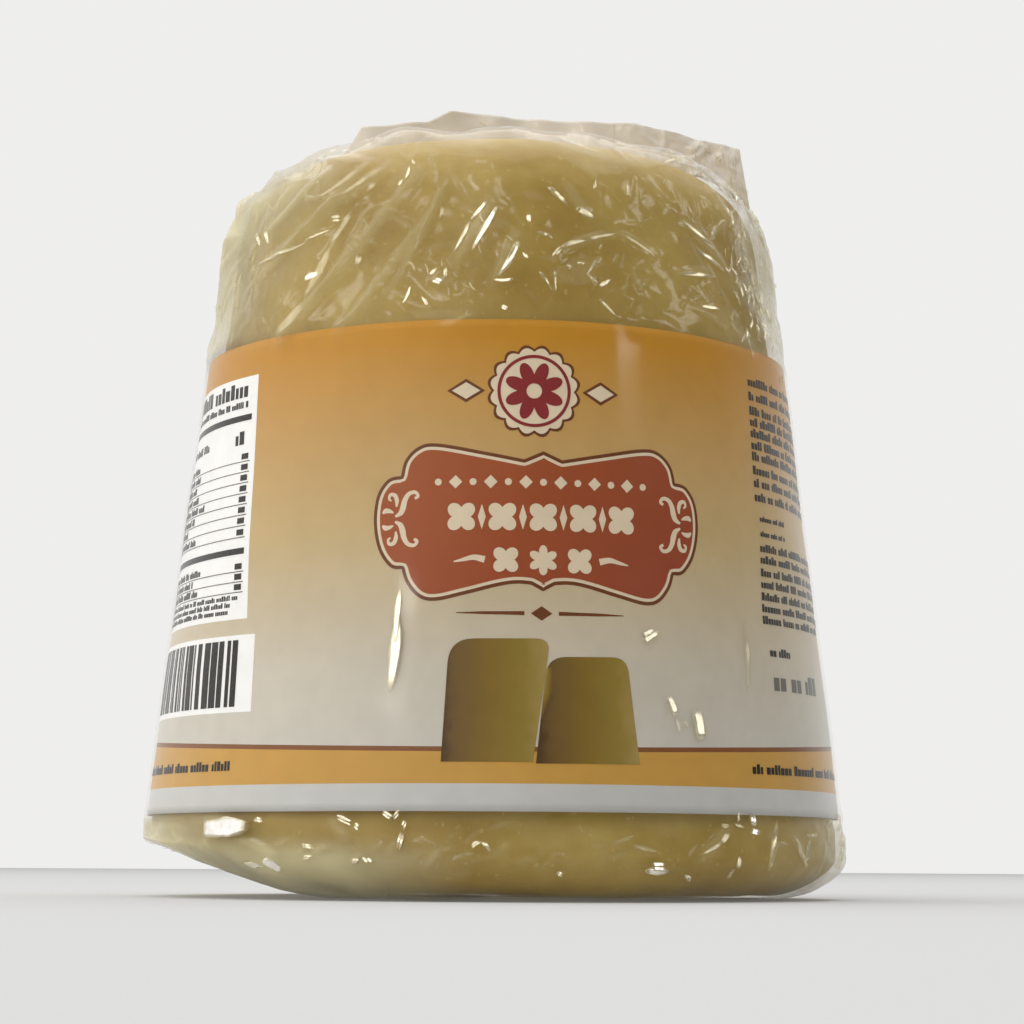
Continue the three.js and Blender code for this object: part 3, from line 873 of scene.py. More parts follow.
def clipped_to_box(points, margin):
    """Points in mm held inside the bag's box."""
    low, high = (np.array(corner) / MM for corner in CAD_BOX)
    return np.clip(points, low + margin, high - margin)


class Film:
    """The bag's film as a grid of rows and columns of points, each with its place across and along it."""

    def __init__(self):
        self.columns = film_columns()
        self.points = film_rings(self.columns)
        self.normals = grid_normals(self.points)
        self.normals[:FOOT_ROWS] = (0, 0, -1)
        lengths = np.linalg.norm(np.diff(self.points, axis=0), axis=-1)
        self.along = np.concatenate([np.zeros((1, len(self.columns))), np.cumsum(lengths, axis=0)])
        self.along += SLEEVE_BOTTOM - self.along[FOOT_ROWS + HEEL_ROWS + LOWER_ROWS]
        self.angle = np.broadcast_to(self.columns, self.along.shape)
        self.across = (self.angle - FRONT) * CRUMPLE_RADIUS
        self.height = self.points[..., 2].copy()
        self.rows = np.arange(len(self.points))[:, None]
        self.fin_row = self.rows - (len(self.points) - 1 - FIN_ROWS) + 0 * self.angle
        self.creased = np.zeros_like(self.along)

    def place(self, angle_degrees, height):
        """Place across and along the film of a point of its wall or shoulder."""
        angle = math.radians(angle_degrees)
        column = int(np.argmin(np.abs(self.columns - angle)))
        top = int(np.argmax(self.height[:, column] >= SHOULDER_END)) or len(self.height) - 1
        along = np.interp(height, self.height[:top, column], self.along[:top, column])
        return (angle - FRONT) * CRUMPLE_RADIUS, float(along)

    def at(self, across, along):
        """Points and outward normals of the film at places across and along it."""
        column = np.interp(across / CRUMPLE_RADIUS + FRONT, self.columns, np.arange(len(self.columns)))
        left = np.minimum(column.astype(int), len(self.columns) - 2)
        places = self.along[:, np.rint(column).astype(int)]
        below = np.clip(np.sum(places <= along, axis=0) - 1, 0, len(places) - 2)
        pick = np.arange(len(along))
        low, high = places[below, pick], places[below + 1, pick]
        share_up = np.clip((along - low) / np.maximum(high - low, TINY), 0, 1)[:, None]
        share_across = (column - left)[:, None]

        def blended(grid):
            lower = lerp(grid[below, left], grid[below, left + 1], share_across)
            upper = lerp(grid[below + 1, left], grid[below + 1, left + 1], share_across)
            return lerp(lower, upper, share_up)

        return blended(self.points), unit(blended(self.normals))

    def crumple(self, depth):
        """Folds and creases the smooth film."""
        upper = smoothstep(self.along, *(SLEEVE_TOP + rise for rise in LOOSE_ABOVE))
        lower = 1 - smoothstep(self.along, *(SLEEVE_BOTTOM + rise for rise in LOOSE_BELOW))
        near_fin = smoothstep(self.fin_row, *NEAR_FIN)
        creases = self.crease_heights()
        relief = self.relief(creases, np.maximum(upper, LOWER_SLACK * lower), depth, near_fin)
        self.points += self.normals * (relief - FILM_DEPTH * lerp(1.0, FIN_DEPTH, near_fin))[..., None]
        self.points[..., 1] += depth * self.sway(near_fin) * np.sqrt(np.abs(np.sin(self.angle)))
        self.creased = self.haze(creases, upper, lower, near_fin)
        self.normals = grid_normals(self.points)
        self.keep_inside()

    def relief(self, creases, loose, depth, near_fin):
        """Height of the folds over the smooth film."""
        large = facets(self.across, self.along, *FACETS_LARGE)
        middle = facets(self.across, self.along, *FACETS_MIDDLE)
        small = facets(self.across, self.along, *FACETS_SMALL)
        relief = ripple(self.angle, self.height) + loose * ripple(self.angle, self.height, LOOSE_RIPPLES)
        relief += loose * (large + middle + small) + creases
        relief += (1 - loose) * TIGHT_RELIEF * (large + middle)
        relief *= depth * lerp(1.0, FIN_RELIEF, near_fin)
        return relief * lerp(FOOT_RELIEF, 1.0, smoothstep(self.rows, FOOT_ROWS, FOOT_ROWS + FOOT_FADE))

    def sway(self, near_fin):
        """Distance that the fin sways to the front or back."""
        x, height = self.points[..., 0], self.height
        depth, across, up = FIN_RIPPLE
        sway = sum(share * facets(x * finer, height * finer_up, *net)
                   for share, finer, finer_up, net in FIN_SWAY)
        sway = near_fin * (sway + depth * np.sin(x * across + height * up))
        share, finer, finer_up, net = FIN_CRINKLE
        crinkle = facets(x * finer, height * finer_up, *net)
        return sway + smoothstep(x, *FIN_CRINKLED) * near_fin * share * crinkle

    def haze(self, creases, upper, lower, near_fin):
        """How whitish the film is, from 0 to 1."""
        leftward = -np.cos(self.angle)
        sides = smoothstep(np.abs(leftward), *SIDES_REACH)
        left = smoothstep(leftward, *LEFT_REACH)
        haze = CREASE_HAZE * np.clip(np.abs(creases) / FULL_CREASE, 0, 1)
        haze += FIN_HAZE * (self.fin_row > 0) + FIN_ROOT_HAZE * near_fin
        # The sides' haze is partly film standing off the cake and partly painted sheen of film seen edge-on
        for band, side_haze, left_haze in zip((upper, lower), SIDES_HAZE, LEFT_HAZE):
            haze += band * (side_haze * sides + left_haze * left)
        shoulder = smoothstep(self.along, *(SLEEVE_TOP + rise for rise in SHOULDER_RISE))
        haze += SHOULDER_HAZE * smoothstep(leftward, *SHOULDER_REACH) * shoulder
        bevel = lower * (1 - smoothstep(self.height, *BEVEL_RISE))
        haze += BEVEL_HAZE * smoothstep(leftward, *BEVEL_REACH) * bevel
        return np.clip(haze, 0, 1)

    def keep_inside(self):
        """Holds the film inside the bag's box and closes its seam and the middle of its foot."""
        self.points = clipped_to_box(self.points, BOX_MARGIN)
        self.points[0] = (0, 0, FOOT_MIDDLE)
        self.points[:, -1] = self.points[:, 0]

    def crinkled_patches(self, draw):
        """Yields the ends, size and bow of each crease of the crinkled patches, and what its tuck faces."""
        for middle, half_size, creases, tucks, lean, half_width, height, length, facing in CRINKLES:
            for index in range(max(creases, tucks)):
                place = np.array(self.place(*(middle + draw.normal(0, 0.5, 2) * half_size)))
                slant = math.radians(lean + draw.normal(0, PATCH_SLANT))
                way = np.array((math.sin(slant), math.cos(slant)))
                step = length * draw.uniform(*PATCH_LENGTHS) / 2 * way
                size = draw.uniform(*PATCH_SIZES)
                bow = draw.normal(0, PATCH_BOW)
                line = (place - step, place + step, half_width * size, height * size, bow)
                yield line, index < creases, index < tucks, facing

    def loose_lines(self, draw, count, low, high, half_lengths, nearest=0.0):
        """Yields the ends and size of lines scattered round the film that fan out from the fin's middle."""
        for _ in range(count):
            x = draw.uniform(nearest * CRUMPLE_RADIUS, CRUMPLE_GIRTH / 2 - BACK_MARGIN)
            x *= draw.choice((-1, 1))
            y = draw.uniform(low, high)
            fan = math.atan2(x - CREASE_FOCUS[0], abs(y - CREASE_FOCUS[1]) + FOCUS_SPREAD)
            slant = fan + draw.normal(0, LOOSE_SLANT)
            step = draw.uniform(*half_lengths) * np.array((math.sin(slant), -math.cos(slant)))
            yield (x, y) - step, (x, y) + step, draw.uniform(*LOOSE_SIZES)

    def crease_heights(self):
        """Heights of the broad creases, crinkled patches, loose creases and gathers of the fin."""
        field = np.zeros_like(self.across)
        for start, end, half_width, height, bow in CREASES:
            for side in (1, -1):
                ends = [self.place(side * angle, z) for angle, z in (start, end)]
                add_crease(field, self.across, self.along, *ends, half_width, height, side * bow)
        draw = np.random.default_rng(CREASE_SEED)
        for line, creased, _, _ in self.crinkled_patches(draw):
            if creased:
                add_crease(field, self.across, self.along, *line)
        half_width, height, bow = LOOSE_CREASE
        for start, end, size in self.loose_lines(
                draw, LOOSE_CREASES, *LOOSE_CREASE_SPAN, LOOSE_CREASE_HALVES):
            add_crease(field, self.across, self.along, start, end, half_width * size, height * size,
                       draw.normal(0, bow))
        half_width, bow = GATHER
        for _ in range(GATHERS):
            x = draw.uniform(-0.5, 0.5) * (CRUMPLE_GIRTH - 2 * GATHER_MARGIN)
            top = self.along[-1 - FIN_ROWS, self.column_at(x)] - draw.uniform(0, GATHER_START)
            end = (x + draw.normal(0, GATHER_STRAY), top - draw.uniform(*GATHER_DROP))
            line = ((x, top), end, half_width, draw.uniform(*GATHER_HEIGHTS), draw.normal(0, bow))
            add_crease(field, self.across, self.along, *line)
        return field

    def column_at(self, x):
        """Column of the film nearest to a place across it."""
        return int(np.argmin(np.abs(self.across[0] - x)))

    def tuck(self, start, end, width, bow, facing=None, tilt=(0.0, 0.0)):
        """Points of one tuck, station by station. Its flat top faces a given point or leans off the film."""
        start, span = np.array(start), np.subtract(end, start)
        length = max(math.hypot(*span), SHORTEST)
        ahead = span / length
        share, (side, raised, _) = np.linspace(0, 1, TUCK_STATIONS + 1)[:, None], TUCK_SECTION.T
        ragged = 1 + sum(depth * np.sin(pitch * share + turn * side + place)
                         for (depth, pitch, turn), place in zip(RAGGED, start))
        taper = TAPERS[0] if width > STUBBY * length else TAPERS[1]
        half_width = side * width / 2 * ragged * np.sin(math.pi * share**TUCK_SKEW) ** taper
        away = arc(share, bow) + half_width
        across = start[0] + share * span[0] - ahead[1] * away
        along = start[1] + share * span[1] + ahead[0] * away
        points, normals = self.at(across.ravel(), along.ravel())
        middle = len(points) // 2
        top = unit(np.array(facing[:3]) - points[middle]) if facing else normals[middle]
        upright = unit(np.cross(top, (0.0, 0.0, 1.0)))
        top = unit(top + upright * tilt[0] + np.cross(upright, top) * tilt[1])
        least, most = (TUCK_RISE[0], TUCK_RISE[1] + RISE_FOR_WIDTH * width) if facing else LOOSE_RISE
        level = (points[middle] - points) @ top / np.maximum(normals @ top, LEAST_COSINE)
        level = level.reshape(away.shape)
        level -= max(level[2:-2].min(), level[2:-2].mean() - most / 2)
        ends = smoothstep(np.minimum(share, 1 - share), 0.0, TUCK_END)
        level = np.where(raised > 0, np.clip(level + least, least, most), -TUCK_ROOT) * ends
        points = clipped_to_box(points + normals * level.reshape(-1, 1), TUCK_MARGIN)
        return points.reshape(*away.shape, 3)

    def back_tucks(self):
        """Yields the longer placed tucks of the front again, mirrored to the back."""
        for a, z, b, y, width, bow, facing in TUCKS:
            start, end = self.place(-a, z), self.place(-b, y)
            if math.dist(start, end) > SLIVER_LENGTH and facing is not WALL_LEFT:
                turned = (facing[0], -facing[1], facing[2])
                yield start, end, width, -bow, turned, BACK_WHITENING_AND_GLINT * min(1.0, facing[3] / FULL_AT_BACK)

    def slivers(self, draw):
        """Yields the placed tucks and the whitening of each, which also paints part of its glint, with each
        short one split into thin slivers.
        """
        for a, z, b, y, width, bow, facing in TUCKS:
            start, end = np.array(self.place(a, z)), np.array(self.place(b, y))
            # Thin tucks keep less whitening, and so less painted glint
            whitening_and_glint = facing[3] * min(1.0, max(THIN_WHITENING_AND_GLINT, width / FULL_WIDTH))
            length = max(math.dist(start, end), SHORTEST)
            if length > SLIVER_LENGTH:
                yield start, end, width, bow, facing, whitening_and_glint
                continue
            ahead = (end - start) / length
            aside = np.array((-ahead[1], ahead[0])) * width
            for place in SLIVERS:
                first = start + aside * place - ahead * draw.uniform(-SLIVER_SHIFT, SLIVER_SHIFT)
                last = end + aside * (place + draw.normal(0, SLIVER_SLANT))
                last += ahead * draw.uniform(-SLIVER_SHIFT, SLIVER_SHIFT)
                yield first, last, width * draw.uniform(*SLIVER_WIDTHS), bow, facing, whitening_and_glint

    def fin_tucks(self, draw):
        """Yields the ends, whitening (which also paints a glint) and facing of the tucks scattered over the
        fin.
        """
        for count, middle, reach, white, facing in FIN_TUCKS:
            for _ in range(count):
                side = math.pi if facing is None and draw.random() < 0.5 else 0.0
                x = (side + math.radians(middle + draw.uniform(-reach, reach))) * CRUMPLE_RADIUS
                column = self.column_at(x)
                low = self.along[-1 - FIN_ROWS, column] + FIN_TUCK_SPAN[0]
                high = self.along[-1, column] + FIN_TUCK_SPAN[1]
                y, half_length = draw.uniform(low, high), draw.uniform(*FIN_TUCK_HALVES)
                slant = draw.normal(0, FIN_TUCK_SLANT)
                step = (half_length * math.cos(slant), half_length * math.sin(slant))
                yield (x - step[0], y - step[1]), (x + step[0], min(y + step[1], high)), white, facing

    def tucks(self):
        """All tucks and the whitening of each, which also paints part of its glint: listed, of crinkled
        patches, loose and on the fin.
        """
        made, whitening_and_glint = [], []
        draw = np.random.default_rng(CREASE_SEED)
        for *shape, white in (*self.slivers(draw), *self.back_tucks()):
            made.append(self.tuck(*shape))
            whitening_and_glint.append(white)
        draw = np.random.default_rng(CREASE_SEED)
        for (start, end, half_width, _, bow), _, tucked, facing in list(self.crinkled_patches(draw)):
            if tucked:
                tilt = draw.normal(0, PATCH_TILT if facing else TUCK_TILT, 2)
                made.append(self.tuck(start, end, half_width * PATCH_TUCK_WIDTH, bow, facing, tilt))
                whitening_and_glint.append(facing[3] * draw.uniform(*PATCH_WHITENING_AND_GLINT) if facing else TUCK_WHITENING_AND_GLINT)
        for count, low, high in LOOSE_TUCKS:
            for start, end, size in self.loose_lines(draw, count, low, high, LOOSE_HALVES, LOOSE_REACH):
                tilt = draw.normal(0, TUCK_TILT, 2)
                made.append(self.tuck(start, end, LOOSE_WIDTH * size, LOOSE_BOW, None, tilt))
                whitening_and_glint.append(TUCK_WHITENING_AND_GLINT)
        for start, end, white, facing in self.fin_tucks(draw):
            tilt = draw.normal(0, TUCK_TILT / 2, 2)
            made.append(self.tuck(start, end, FIN_TUCK_WIDTH, LOOSE_BOW, facing, tilt))
            whitening_and_glint.append(white)
        return np.array(made), np.array(whitening_and_glint)


# Helpers for modelling


def to_object_mode():
    if bpy.context.object and bpy.context.object.mode != "OBJECT":
        bpy.ops.object.mode_set(mode="OBJECT")


def deselect_all():
    to_object_mode()
    bpy.ops.object.select_all(action="DESELECT")


def select_only(piece):
    deselect_all()
    piece.select_set(True)
    bpy.context.view_layer.objects.active = piece


def edit_all(piece):
    """Goes into edit mode with the whole mesh selected."""
    select_only(piece)
    bpy.ops.object.mode_set(mode="EDIT")
    bpy.ops.mesh.select_all(action="SELECT")


def added(name):
    """Names the object that was added last."""
    piece = bpy.context.object
    piece.name = name
    piece.data.name = name
    return piece


def read_points(piece):
    values = np.empty(len(piece.data.vertices) * 3)
    piece.data.vertices.foreach_get("co", values)
    return values.reshape(-1, 3)


def write_points(piece, points):
    piece.data.vertices.foreach_set("co", np.ascontiguousarray(points, dtype=float).ravel())
    piece.data.update()


def write_shares(piece, name, values):
    """Stores one number for each vertex, for a material to read."""
    shares = piece.data.attributes.new(name, "FLOAT", "POINT")
    shares.data.foreach_set("value", np.ascontiguousarray(values, dtype=np.float32).ravel())


def apply_modifier(piece, kind, **settings):
    select_only(piece)
    bpy.ops.object.modifier_add(type=kind)
    modifier = piece.modifiers[-1]
    for key, value in settings.items():
        setattr(modifier, key, value)
    bpy.ops.object.modifier_apply(modifier=modifier.name)


def add_wrapped_grid(name, columns, rows):
    """Adds a grid and returns it with the column and row of each of its vertices."""
    deselect_all()
    bpy.ops.mesh.primitive_grid_add(x_subdivisions=columns, y_subdivisions=rows, size=1)
    piece = added(name)
    flat = read_points(piece) + 0.5
    return piece, np.rint(flat[:, 0] * columns).astype(int), np.rint(flat[:, 1] * rows).astype(int)


def close_seam(piece):
    """Joins the two ends of a wrapped grid and turns its faces outwards."""
    edit_all(piece)
    bpy.ops.mesh.remove_doubles(threshold=SEAM_GAP)
    bpy.ops.mesh.select_all(action="SELECT")
    bpy.ops.mesh.normals_make_consistent(inside=False)
    bpy.ops.object.mode_set(mode="OBJECT")


def finish_piece(piece, material, node, sharp=math.pi):
    """Smooths a piece up to an angle, gives it its material and places it in the frame."""
    select_only(piece)
    bpy.ops.object.shade_smooth_by_angle(angle=sharp)
    piece.data.materials.clear()
    piece.data.materials.append(material)
    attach(piece, "root")
    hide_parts(node)


# Materials


def new_material(name):
    material = bpy.data.materials.new(name)
    material.use_nodes = True
    material.node_tree.nodes.clear()
    return material, material.node_tree


def add_node(tree, kind, inputs=None, **settings):
    """Adds a node. An input is given as a value or as the socket that feeds it."""
    made = tree.nodes.new(kind)
    for key, value in settings.items():
        setattr(made, key, value)
    for key, value in (inputs or {}).items():
        if isinstance(value, bpy.types.NodeSocket):
            tree.links.new(value, made.inputs[key])
        else:
            made.inputs[key].default_value = value
    return made


def calculate(tree, operation, *values, clamp=False):
    made = add_node(tree, "ShaderNodeMath", dict(enumerate(values)), operation=operation, use_clamp=clamp)
    return made.outputs[0]


def mix_colours(tree, share, first, second, blend="MIX"):
    inputs = {0: share, 6: first, 7: second}
    return add_node(tree, "ShaderNodeMix", inputs, data_type="RGBA", blend_type=blend).outputs[2]


def mix_shaders(tree, share, first, second):
    return add_node(tree, "ShaderNodeMixShader", {0: share, 1: first, 2: second}).outputs[0]


def opaque(colour):
    return (*colour, 1.0)


def between(share, first, second):
    """Colour that lies between two others."""
    return [lerp(a, b, share) for a, b in zip(first, second)]


def object_place(tree):
    return add_node(tree, "ShaderNodeTexCoord").outputs["Object"]


def separated(tree, place):
    return add_node(tree, "ShaderNodeSeparateXYZ", {0: place}).outputs


def attribute(tree, name):
    return add_node(tree, "ShaderNodeAttribute", attribute_name=name).outputs["Fac"]


def noise(tree, place, scale, detail, roughness):
    inputs = {"Vector": place, "Scale": scale, "Detail": detail, "Roughness": roughness}
    return add_node(tree, "ShaderNodeTexNoise", inputs).outputs["Fac"]


def bump(tree, height, strength, reach):
    inputs = {"Strength": strength, "Distance": reach * MM, "Height": height}
    return add_node(tree, "ShaderNodeBump", inputs).outputs["Normal"]


def softly(tree, value, onset, start, end):
    """Number that goes softly from a start to an end while a value passes an onset."""
    inputs = {"Value": value, "From Min": onset[0], "From Max": onset[1], "To Min": start, "To Max": end}
    return add_node(tree, "ShaderNodeMapRange", inputs, interpolation_type="SMOOTHSTEP").outputs[0]


def colour_ramp(tree, share, stops):
    """Colours along a share, with stops as (place, colour)."""
    made = add_node(tree, "ShaderNodeValToRGB", {"Fac": share})
    ramp = made.color_ramp
    for index, (place, colour) in enumerate(stops):
        stop = ramp.elements[index] if index < 2 else ramp.elements.new(place)
        stop.position = place
        stop.color = opaque(colour)
    return made.outputs["Color"]


def output(tree, shader):
    add_node(tree, "ShaderNodeOutputMaterial", {"Surface": shader})


def film_shader(tree, mirrored, haze_share, haze_colour, gloss):
    """Film that is partly clear and partly hazy, with gloss over it."""
    clear = add_node(tree, "ShaderNodeBsdfTransparent", {"Color": opaque(CLEAR_TINT)}).outputs[0]
    haze = add_node(tree, "ShaderNodeBsdfDiffuse", {"Color": haze_colour}).outputs[0]
    shine = add_node(tree, "ShaderNodeBsdfGlossy", gloss).outputs[0]
    return mix_shaders(tree, mirrored, mix_shaders(tree, haze_share, clear, haze), shine)


def film_material(settings):
    """Clear film: glossy, see-through where smooth and whitish where creased or hazy; at its sides the haze
    is partly painted sheen.
    """
    material, tree = new_material("clear_film")
    place = object_place(tree)
    creased = attribute(tree, "creased")
    strength = calculate(tree, "MULTIPLY", creased, WRINKLE_STRENGTH)
    fine = bump(tree, noise(tree, place, *FILM_WRINKLES), strength, WRINKLE_DEPTH)
    facing = add_node(tree, "ShaderNodeLayerWeight", {"Blend": 0.5, "Normal": fine}).outputs["Facing"]
    grazing = calculate(tree, "POWER", facing, EDGE_SHARPNESS)
    mirrored = calculate(tree, "MULTIPLY_ADD", grazing, EDGE_GLOSS, settings.gloss)
    cloud = calculate(tree, "ADD", noise(tree, place, *FILM_CLOUDS), 0.5)
    # The creased attribute holds all of the film's haze, including the painted sheen at its sides
    haze_share = calculate(tree, "MULTIPLY_ADD", creased, *FILM_HAZE)
    haze_share = calculate(tree, "MULTIPLY", haze_share, cloud, clamp=True)
    sealed = add_node(tree, "ShaderNodeMapRange", {
        "Value": separated(tree, place)["Z"], "From Min": SEAL_RISE[0] * MM, "From Max": SEAL_RISE[1] * MM})
    colours = opaque(settings.haze_colour), opaque(settings.seal_colour)
    whitish = mix_colours(tree, sealed.outputs[0], *colours)
    gloss = {"Color": (1, 1, 1, 1), "Roughness": settings.roughness, "Normal": fine}
    output(tree, film_shader(tree, mirrored, haze_share, whitish, gloss))
    return material


def tuck_material(settings):
    """Folded film: far glossier than the smooth film, and whitened by the fold; the cream whitening also
    paints part of each glint.
    """
    material, tree = new_material("folded_film")
    cloud = noise(tree, object_place(tree), *FOLD_CLOUDS)
    # Whitening of each tuck: cream haze that is partly folded film and partly a painted glint
    whitening_and_glint = attribute(tree, "whitening_and_glint")
    bright = calculate(tree, "SUBTRACT", whitening_and_glint, BRIGHT_TUCK, clamp=True)
    tint = mix_colours(tree, bright, opaque(FOLD_TINT), opaque(BRIGHT_TINT))
    haze_share = calculate(tree, "MULTIPLY", cloud, calculate(tree, "MULTIPLY", whitening_and_glint, FOLD_HAZE))
    mirrored = calculate(tree, "MULTIPLY_ADD", cloud, FOLD_CLOUD_GLOSS, settings.fold_gloss)
    mirrored = calculate(tree, "MULTIPLY", mirrored, whitening_and_glint)
    gloss = {"Color": tint, "Roughness": settings.fold_roughness}
    output(tree, film_shader(tree, mirrored, haze_share, opaque(settings.fold_colour), gloss))
    return material


def jaggery_material(settings):
    """Waxy cane sugar: dull gold with paler bloom and darker, damp patches."""
    material, tree = new_material("jaggery")
    place = object_place(tree)
    broad, middle, grain = (
        noise(tree, place, *pattern) for pattern in (SUGAR_PATCHES, SUGAR_LUMPS, SUGAR_GRAIN))
    patches = calculate(tree, "MULTIPLY", broad, SUGAR_MOTTLE[0])
    mottled = calculate(tree, "MULTIPLY_ADD", middle, SUGAR_MOTTLE[1], patches, clamp=True)
    light, deep = settings.light_colour, settings.deep_colour
    colour = colour_ramp(tree, mottled, zip(SUGAR_STOPS, (deep, light, between(0.5, deep, light))))
    speck = calculate(tree, "GREATER_THAN", grain, SPECK_FROM)
    speck = calculate(tree, "MULTIPLY", speck, SPECK_SHARE)
    colour = mix_colours(tree, speck, colour, opaque(settings.speck_colour))
    coarse, fine = (calculate(tree, "MULTIPLY", pattern, share)
                    for pattern, share in zip((middle, grain), SUGAR_RELIEF))
    rough = bump(tree, calculate(tree, "ADD", coarse, fine), *SUGAR_BUMP)
    shader = add_node(tree, "ShaderNodeBsdfPrincipled", {
        "Base Color": colour, "Normal": rough,
        "Roughness": calculate(tree, "MULTIPLY_ADD", grain, *SUGAR_ROUGHNESS),
        "Specular IOR Level": SUGAR_GLOSS, "Subsurface Weight": SUGAR_GLOW,
        "Subsurface Radius": SUGAR_GLOW_COLOUR, "Subsurface Scale": SUGAR_GLOW_REACH * MM})
    output(tree, shader.outputs[0])
    return material


def printed(tree, colour, place):
    """Ink on film: an even colour with the faint mottle of gravure print."""
    shade = calculate(tree, "MULTIPLY_ADD", noise(tree, place, *INK_MOTTLE), *INK_SHADES)
    grey = add_node(tree, "ShaderNodeCombineColor", {0: shade, 1: shade, 2: shade}).outputs[0]
    toned = mix_colours(tree, 1.0, colour, grey, "MULTIPLY")
    inputs = {"Base Color": toned, "Roughness": INK_ROUGHNESS, "Specular IOR Level": INK_GLOSS}
    return add_node(tree, "ShaderNodeBsdfPrincipled", inputs).outputs[0]


def sleeve_material(settings):
    """Sleeve: ochre fading down to chalk, then a dark line, a stripe and a white border."""
    material, tree = new_material("printed_film")
    place = object_place(tree)
    across, depth, height = separated(tree, place)
    chalk, sand, ochre = settings.chalk, settings.sand, settings.ochre
    colours = (chalk, ochre, between(PALE_SAND, chalk, sand), sand, between(DEEP_SAND, sand, ochre))
    share = calculate(tree, "DIVIDE", height, SLEEVE_TOP * MM)
    fade = colour_ramp(tree, share, zip(SLEEVE_FADE, colours))
    square = calculate(tree, "ADD", *(calculate(tree, "POWER", side, 2.0) for side in (across, depth)))
    reach = calculate(tree, "POWER", square, 0.5)
    forward = calculate(tree, "DIVIDE", calculate(tree, "ABSOLUTE", depth), reach)
    risen = calculate(tree, "MULTIPLY", calculate(tree, "SUBTRACT", 1.0, forward), STRIPE_RISE * MM)
    level = calculate(tree, "SUBTRACT", height, risen)
    colour = fade
    for place_up, top, ink in (
            (level, LINE_TOP, settings.stripe_line), (level, STRIPE_TOP, settings.stripe),
            (height, STRIPE_BOTTOM, settings.border)):
        below = calculate(tree, "LESS_THAN", place_up, top * MM)
        colour = mix_colours(tree, below, colour, opaque(ink))
    output(tree, printed(tree, colour, place))
    return material


def ink_material(name, colour):
    material, tree = new_material(name)
    output(tree, printed(tree, opaque(colour), object_place(tree)))
    return material


def brick_material(settings):
    """Field of the cartouche, which turns redder to its lower right."""
    material, tree = new_material("ink_brick")
    place = object_place(tree)
    across, _, height = separated(tree, place)
    slant = calculate(tree, "SUBTRACT", across, height)
    share = calculate(tree, "MULTIPLY_ADD", slant, *BRICK_FADE, clamp=True)
    colour = mix_colours(tree, share, opaque(settings.brick), opaque(settings.maroon))
    output(tree, printed(tree, colour, place))
    return material


def cakes_material():
    """Printed picture of two cakes: dark at the left of each, olive and paler at the right."""
    material, tree = new_material("ink_cakes")
    place = object_place(tree)
    uneven = calculate(tree, "MULTIPLY_ADD", noise(tree, place, *CAKES_MOTTLE), *CAKES_UNEVEN)
    share = calculate(tree, "ADD", attribute(tree, "across"), uneven)
    colour = colour_ramp(tree, share, ((at, srgb(*shown)) for at, shown in CAKES_FADE))
    output(tree, printed(tree, colour, place))
    return material


def floor_material():
    material, tree = new_material("studio_floor")
    matt = add_node(tree, "ShaderNodeBsdfDiffuse", {"Color": opaque(FLOOR_COLOUR)}).outputs[0]
    inputs = {"Color": opaque(FLOOR_GLOW_COLOUR), "Strength": FLOOR_GLOW}
    glow = add_node(tree, "ShaderNodeEmission", inputs).outputs[0]
    output(tree, add_node(tree, "ShaderNodeAddShader", {0: matt, 1: glow}).outputs[0])
    return material


# Print: outlines in mm across the sleeve and up it


def oval(middle, radius, count):
    """Round outline."""
    turns = [TURN * i / count for i in range(count)]
    return [(middle[0] + radius * math.cos(turn), middle[1] + radius * math.sin(turn)) for turn in turns]


def flower(middle, radius, petals, depth=PETAL_DEPTH, count=FLOWER_POINTS):
    """Round flower whose petals are set off by notches."""
    points = []
    for i in range(count):
        turn = TURN * i / count
        reach = radius * (1 - depth * (1 - abs(math.sin(petals * turn / 2))))
        points.append((middle[0] + reach * math.cos(turn), middle[1] + reach * math.sin(turn)))
    return points


def diamond(middle, reach_across, reach_up):
    return [(middle[0] - reach_across, middle[1]), (middle[0], middle[1] - reach_up),
            (middle[0] + reach_across, middle[1]), (middle[0], middle[1] + reach_up)]


def bar(left, right, bottom, top):
    return [(left, bottom), (right, bottom), (right, top), (left, top)]


def stroke(path, widths):
    """Outline of a line of changing width along a path."""
    path = np.array(path, float)
    ahead = unit(np.gradient(path, axis=0))
    aside = np.stack([-ahead[:, 1], ahead[:, 0]], axis=-1) * np.array(widths)[:, None] / 2
    return [tuple(p) for p in path + aside] + [tuple(p) for p in (path - aside)[::-1]]


def hermite(share, start, end, out, into):
    """Point of a curve between two points with given slopes at its ends."""
    return ((2 * share**3 - 3 * share**2 + 1) * start + (share**3 - 2 * share**2 + share) * out
            + (3 * share**2 - 2 * share**3) * end + (share**3 - share**2) * into)


def rounded(points, corners, steps=5):
    """Closed outline through points, curved except at the corners."""
    path = np.array(points, float)
    count = len(path)
    curve = []
    for i in range(count):
        p0, p1, p2, p3 = (path[(i + k) % count] for k in (-1, 0, 1, 2))
        out = np.zeros(2) if i in corners else (p2 - p0) / 2
        into = np.zeros(2) if (i + 1) % count in corners else (p3 - p1) / 2
        curve += [tuple(hermite(t, p1, p2, out, into)) for t in np.arange(steps) / steps]
    return curve


def swept(points, widths, steps=6):
    """Outline of a smooth line through points, with its width at each."""
    path = np.array(points, float)
    slopes = np.gradient(path, axis=0)
    shares = np.linspace(0, len(path) - 1, steps * (len(path) - 1) + 1)
    curve = []
    for share in shares:
        i = min(int(share), len(path) - 2)
        curve.append(hermite(share - i, path[i], path[i + 1], slopes[i], slopes[i + 1]))
    return stroke(curve, np.interp(shares, range(len(path)), widths))


